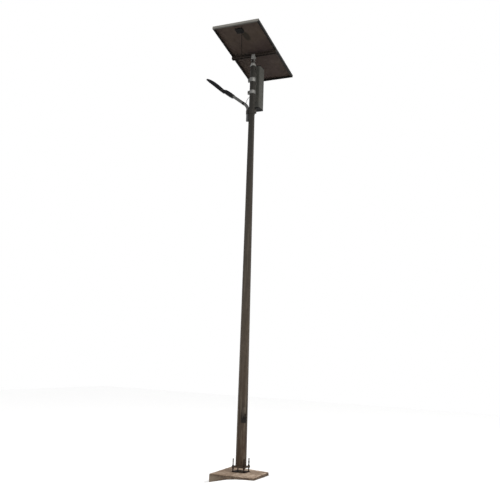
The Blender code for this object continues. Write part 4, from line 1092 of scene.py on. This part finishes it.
def build_lamp_rear():
    stations = [0.168 * step / 46 for step in range(47)]
    bm = loft([shell_section(x, REAR_TOP, REAR_LOW, REAR_WIDTH, top_round=2.8) for x in stations])
    bm = cut_away(bm, swept([(-0.02, 0, 0), (0.0590, 0, 0)], PIPE_RADIUS + 0.0007, 48))
    bm = cut_away(bm, block((0.070, -0.050, -0.047), (0.160, 0.050, 0.012), 0))
    for side in (-1, 1):
        ear = swept([(KNUCKLE_OUT, side * y, KNUCKLE_UP) for y in (0.0440, 0.0450, 0.0575, 0.0585)],
                    [0.0102, 0.0110, 0.0110, 0.0102], 40)
        add_to(bm, ear)
        low, high = sorted((side * 0.0442, side * 0.0560))
        add_to(bm, block((0.150, low, KNUCKLE_UP - 0.0088), (KNUCKLE_OUT - 0.001, high, KNUCKLE_UP + 0.0088),
                         0.002, 3))
    add_to(bm, swept([(KNUCKLE_OUT, -0.0500, KNUCKLE_UP), (KNUCKLE_OUT, 0.0500, KNUCKLE_UP)], 0.0050, 24))
    finish_piece("lamp_casting_fitter", bm, "casting", "pole", SOCKET, ("lamp_fitter",), sharp=38)
    heads = bmesh.new()
    for side in (-1, 1):
        add_to(heads, add_to(hex_nut(0.013, 0.0040, 0.0004), washer(0.0085, 0.0004, 0.0010)),
               aim((0, side, 0), (KNUCKLE_OUT, side * 0.0584, KNUCKLE_UP)))
        add_to(heads, hex_nut(0.010, 0.0045, 0.0004), aim((0, 0, -1), (0.018, side * 0.010, -0.0300)))
    finish_piece("fitter_bolt_heads", heads, "fixings", "pole", SOCKET)
    cover = block((0.0705, -0.0495, -0.0348), (0.1595, 0.0495, -0.0310), 0.0012, 3)
    for x in (0.0765, 0.1535):
        for side in (-1, 1):
            add_to(cover, cap_screw(0.0034, 0.0016), aim((0, 0, -1), (x, side * 0.0435, -0.0347)))
    for step in range(5):
        y = -0.026 + 0.013 * step
        add_to(cover, block((0.088, y - 0.0014, -0.0358), (0.142, y + 0.0014, -0.0340), 0.0008))
    finish_piece("driver_cover_ribbed", cover, "casting", "pole", SOCKET, ("driver_cover",))
    refine("lamp_driver", "white", 0.0015)


# ---- head, bracket and panel --------------------------------------------------------------------
SET_SCREW_HEIGHT = 5.530


def build_head_looks():
    # The head cap and tilt bracket take the lighter head zinc, which is painted light.
    refine("head_cap", "head", 0.0010)
    # The clevis takes the darker fixing zinc: painted shade of the gap round the pivot.
    refine("head_clevis", "fixings", 0.0007)
    refine("tilt_bracket", "head", 0.0007)
    shank = swept([(-0.0600, 0, 0), (-0.0592, 0, 0), (0.0300, 0, 0)], [0.0052, 0.0060, 0.0060], 28)
    add_to(shank, hex_nut(0.019, 0.0077, 0.0055), aim((1, 0, 0), (0.0258, 0, 0)))
    for step in range(10):
        add_to(shank, ring_lip(0.0058, 0.0005, 28, 6), aim((1, 0, 0), (-0.0580 + 0.0022 * step, 0, 0)))
    finish_piece("pivot_bolt_finished", shank, "rust", "head", HEAD, ("pivot_bolt",))
    finish_piece("pivot_nut_finished", hex_nut(0.0209, 0.0112, 0.0062), "rust", "head",
                 HEAD @ aim((1, 0, 0), (-0.0370, 0, 0)), ("pivot_nut",))
    for index in range(4):
        angle = math.radians(90 * index)
        out = Vector((math.cos(angle), math.sin(angle), 0))
        screw = add_to(hex_nut(0.013, 0.0045, 0.0004), washer(0.0082, 0.0004, 0.0010), raised(-0.0008))
        finish_piece(f"pole_set_screw_{index + 1}", screw, "rust", "pole",
                     aim(out, out * (pole_apothem(SET_SCREW_HEIGHT) + 0.0006)
                         + Vector((0, 0, SET_SCREW_HEIGHT))))


def build_crossbar():
    node = frame["nodes"]["crossbar"]
    bm = bmesh.new()
    bm.from_mesh(node.data)
    bm.transform(PANEL.inverted())
    bmesh.ops.remove_doubles(bm, verts=bm.verts, dist=0.000005)
    slots = bmesh.new()
    for step in range(-5, 6):
        if abs(step) > 0:
            slot = rounded_slab(0.024, 0.009, 0.0044, -0.03, 0.03, 0.00001)
            add_to(slots, slot, Matrix.Translation((step * 0.056, 0, CROSSBAR_BOTTOM + 0.024)) @ XZ)
    bm = cut_away(bm, slots)
    finish_piece("crossbar_slotted", bm, "channel", "panel", PANEL, ("crossbar",), sharp=25)
    for side in (-1, 1):
        low, high = sorted((side * 0.3348, side * 0.3325))
        cap = block((low, -0.0178, CROSSBAR_BOTTOM + 0.0028),
                    (high, 0.0178, CROSSBAR_BOTTOM + 0.0380), 0.0006)
        finish_piece(f"crossbar_end_{side + 2}", cap, "black", "panel", PANEL)
    for index in (1, 2):
        refine(f"bracket_bolt_{index}", "fixings", 0.0004)


def build_frame():
    # The high frame takes the lighter aluminium, which is dust and painted sky light.
    for side, look in (("high", "frame"), ("low", "rail"), ("left", "rail"), ("right", "rail")):
        refine(f"frame_{side}", look, 0.0003, 2)
    screws = bmesh.new()
    for sy in (-1, 1):
        for x in (-0.3250, 0.3250):
            for z in (0.112, 0.125):
                y = sy * PANEL_LENGTH / 2
                add_to(screws, cap_screw(0.0026, 0.0012), aim((0, sy, 0), (x, y - sy * 0.0014, z)))
    finish_piece("frame_corner_screws", screws, "fixings", "panel", PANEL)
    eyelets = bmesh.new()
    for side in (-1, 1):
        for y in (-0.520, -0.330, -0.110, 0.110, 0.330, 0.520):
            add_to(eyelets, washer(0.0060, 0.0034, 0.0004),
                   Matrix.Translation((side * 0.3235, y, PANEL_BACK - 0.00005)))
    finish_piece("frame_hole_rims", eyelets, "fixings", "panel", PANEL)
    clamps = bmesh.new()
    for side in (-1, 1):
        for edge in (-1, 1):
            x, y = side * 0.3230, edge * 0.0105
            add_to(clamps, hex_nut(0.010, 0.0045, 0.0003), aim((0, 0, -1), (x, y, CROSSBAR_BOTTOM + 0.0385)))
    finish_piece("crossbar_fixing_heads", clamps, "fixings", "panel", PANEL)


def build_cells():
    """Thirty-two cells in four columns under the glass, with their ribbons, on a white sheet."""
    half_x, half_y = PANEL_WIDTH / 2 - 0.0019, PANEL_LENGTH / 2 - 0.0019
    columns, rows, pitch = 4, 8, 0.1595
    bm = bmesh.new()
    across, along = 160, 120
    grid = []
    for j in range(along + 1):
        y = -half_y + 2 * half_y * j / along
        row = []
        for i in range(across + 1):
            x = -half_x + 2 * half_x * i / across
            ribbon = min(abs((x / pitch * 3 + 0.5) % 1 - 0.5), 0.2)
            edge = min(abs((y / pitch + 0.5) % 1 - 0.5), 0.06)
            z = 0.1311 - 0.00025 * (ribbon < 0.06) + 0.0003 * (edge < 0.015) + 0.00012 * noise.noise(
                Vector((x, y, 0)) * 12)
            row.append(bm.verts.new((x, y, z)))
        grid.append(row)
    for low, high in zip(grid, grid[1:]):
        for i in range(across):
            bm.faces.new((low[i], low[i + 1], high[i + 1], high[i]))
    bmesh.ops.solidify(bm, geom=bm.faces[:], thickness=0.0004)
    finish_piece("panel_backsheet", bm, "backsheet", "panel", PANEL, ("cell_laminate",))
    finish_piece("panel_white_sheet", block((-half_x, -half_y, 0.1316), (half_x, half_y, 0.1319), 0.0001),
                 "white", "panel", PANEL)
    cells, ribbons = bmesh.new(), bmesh.new()
    for column in range(columns):
        x = (column - (columns - 1) / 2) * pitch
        for row in range(rows):
            y = (row - (rows - 1) / 2) * pitch
            outline = []
            for sx, sy in ((1, 1), (-1, 1), (-1, -1), (1, -1)):
                near = [(sx * 0.078, sy * 0.068), (sx * 0.068, sy * 0.078)]
                outline += near if sx * sy > 0 else near[::-1]
            add_to(cells, loft([[(x + px, y + py, z) for px, py in outline] for z in (0.1321, 0.1324)]))
        for offset in (-0.052, 0, 0.052):
            strip = block((x + offset - 0.0009, -half_y + 0.012, 0.13235),
                          (x + offset + 0.0009, half_y - 0.012, 0.13255), 0.00003)
            add_to(ribbons, strip)
    for sy in (-1, 1):
        y = sy * (half_y - 0.012)
        for first in ((-1.5, -0.5), (0.5, 1.5)):
            add_to(ribbons, block((first[0] * pitch - 0.055, y - 0.0025, 0.1321),
                                  (first[1] * pitch + 0.055, y + 0.0025, 0.1324), 0.00003))
    finish_piece("solar_cells", cells, "cell", "panel", PANEL)
    finish_piece("cell_ribbons", ribbons, "zinc", "panel", PANEL)
    refine("panel_glass", "glass", 0.0006, angle=20)


def build_junction():
    top, bottom = 0.1307, 0.1057
    outline = rounded_outline(0.050, -0.5525, -0.4675, 0.006, 6)
    centre = Vector((0, -0.510))
    rings = []
    for z, inset in ((top, 0.0), (0.1135, 0.0010), (0.1135, 0.0), (0.1085, 0.0), (0.1072, 0.0012),
                     (0.1068, 0.0060), (0.1074, 0.0072)):
        rings.append([(p[0] * (1 - inset / 0.05), centre.y + (p[1] - centre.y) * (1 - inset / 0.0425), z)
                      for p in outline])
    bm = loft(rings)
    for step in range(6):
        x = -0.030 + 0.012 * step
        add_to(bm, block((x - 0.0012, -0.5430, bottom + 0.0004), (x + 0.0012, -0.4770, 0.1080), 0.0006))
    for sx in (-1, 1):
        for y in (-0.5465, -0.4735):
            add_to(bm, cap_screw(0.0030, 0.0012), aim((0, 0, -1), (sx * 0.0435, y, 0.1072)))
    add_to(bm, gland(0.0080, 0.0031, 0.0150), aim((0, 1, 0), (0.0030, -0.4680, 0.1182)))
    finish_piece("junction_box_moulded", bm, "black", "panel", PANEL, ("junction_box",))


def build_cables():
    hole = BEND_END + ARM_SIDE * 0.0100
    points = ((-pole_apothem(LAMP_CABLE_HEIGHT) + 0.016, 0, LAMP_CABLE_HEIGHT),
              (-0.0480, 0, LAMP_CABLE_HEIGHT), (-0.0640, 0, 5.1120),
              (-0.0800, 0, 5.0850), hole + ARM_SIDE * 0.024 - SLOPE * 0.002, hole)
    route = smooth_route(points, 60)
    piece = finish_piece("lamp_cable_sheath", swept(route, 0.0030, 20), "rubber", "pole",
                         replaces=("lamp_cable",))

    points = ((0, GLAND_Y, BOX_BOTTOM - 0.0163), (0, GLAND_Y, 4.945), (0, 0.094, 4.905), (0, 0.072, 4.880),
              (0, 0.050, BATTERY_CABLE_HEIGHT), (0, 0.024, BATTERY_CABLE_HEIGHT))
    route = smooth_route(points, 50)
    piece = finish_piece("battery_cable_sheath", swept(route, 0.0045, 24), "rubber", "pole",
                         replaces=("battery_cable",))

    points = [PANEL @ Vector(p) for p in (
        (0.0030, -0.4518, 0.1182), (0.0020, -0.4370, 0.1180), (-0.0205, -0.3950, 0.1100),
        (-0.0625, -0.3000, 0.1010), (-0.1105, -0.1900, 0.0985), (-0.1560, -0.0850, 0.0960),
        (-0.1740, -0.0450, 0.0900), (-0.1640, -0.0290, 0.0830), (-0.1200, -0.0265, 0.0800),
        (-0.070, -0.0260, 0.0760), (-0.042, -0.0275, 0.0660), (-0.031, -0.0300, 0.0500),
        (-0.0295, -0.0300, 0.0280), (-0.0270, -0.0300, 0.0100), (-0.0170, -0.0300, -0.0030),
        (-0.0050, -0.0265, -0.0110), (0.000, -0.0180, -0.0150))]
    points += [Vector((0, -0.0080, 5.636)), Vector((0, -0.0020, 5.618)), Vector((0, 0, 5.585))]
    route = smooth_route(points, 260)
    sheath = swept(route, 0.0030, 20)
    bmesh.ops.recalc_face_normals(sheath, faces=sheath.faces)
    piece = new_object("panel_cable_sheath", sheath, MATERIALS["rubber"])
    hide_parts("panel_cable")
    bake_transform(piece)
    ties = bmesh.new()
    for x in (-0.1200, -0.0700):
        corners = [(x, -0.0312, CROSSBAR_BOTTOM - 0.0008), (x, 0.0215, CROSSBAR_BOTTOM - 0.0008),
                   (x, 0.0215, CROSSBAR_BOTTOM + 0.0420), (x, -0.0312, CROSSBAR_BOTTOM + 0.0420)]
        loop = []
        for index, corner in enumerate(corners):
            after, before = Vector(corners[(index + 1) % 4]), Vector(corners[index - 1])
            corner = Vector(corner)
            back, ahead = (before - corner).normalized(), (after - corner).normalized()
            loop += [corner + back * 0.002, corner + (back + ahead) * 0.0006, corner + ahead * 0.002]
        rings = []
        for index, point in enumerate(loop):
            inward = (Vector((x, -0.005, CROSSBAR_BOTTOM + 0.0205)) - point).normalized() * 0.0010
            rings.append([point + Vector((sx * 0.0018, 0, 0)) + inward * k
                          for sx, k in ((-1, 0), (1, 0), (1, 1), (-1, 1))])
        add_to(ties, loft(rings, wrap=True))
        add_to(ties, block((x - 0.0028, -0.0345, 0.0700), (x + 0.0028, -0.0305, 0.0750), 0.0006))
    finish_piece("cable_ties", ties, "black", "panel", PANEL)


build_cables()
build_base()
build_welds()
build_pole_looks()
build_switch_details()
build_box()
build_clamps()
build_arm_looks()
build_lamp_head()
build_lamp_rear()
build_head_looks()
build_crossbar()
build_frame()
build_cells()
build_junction()
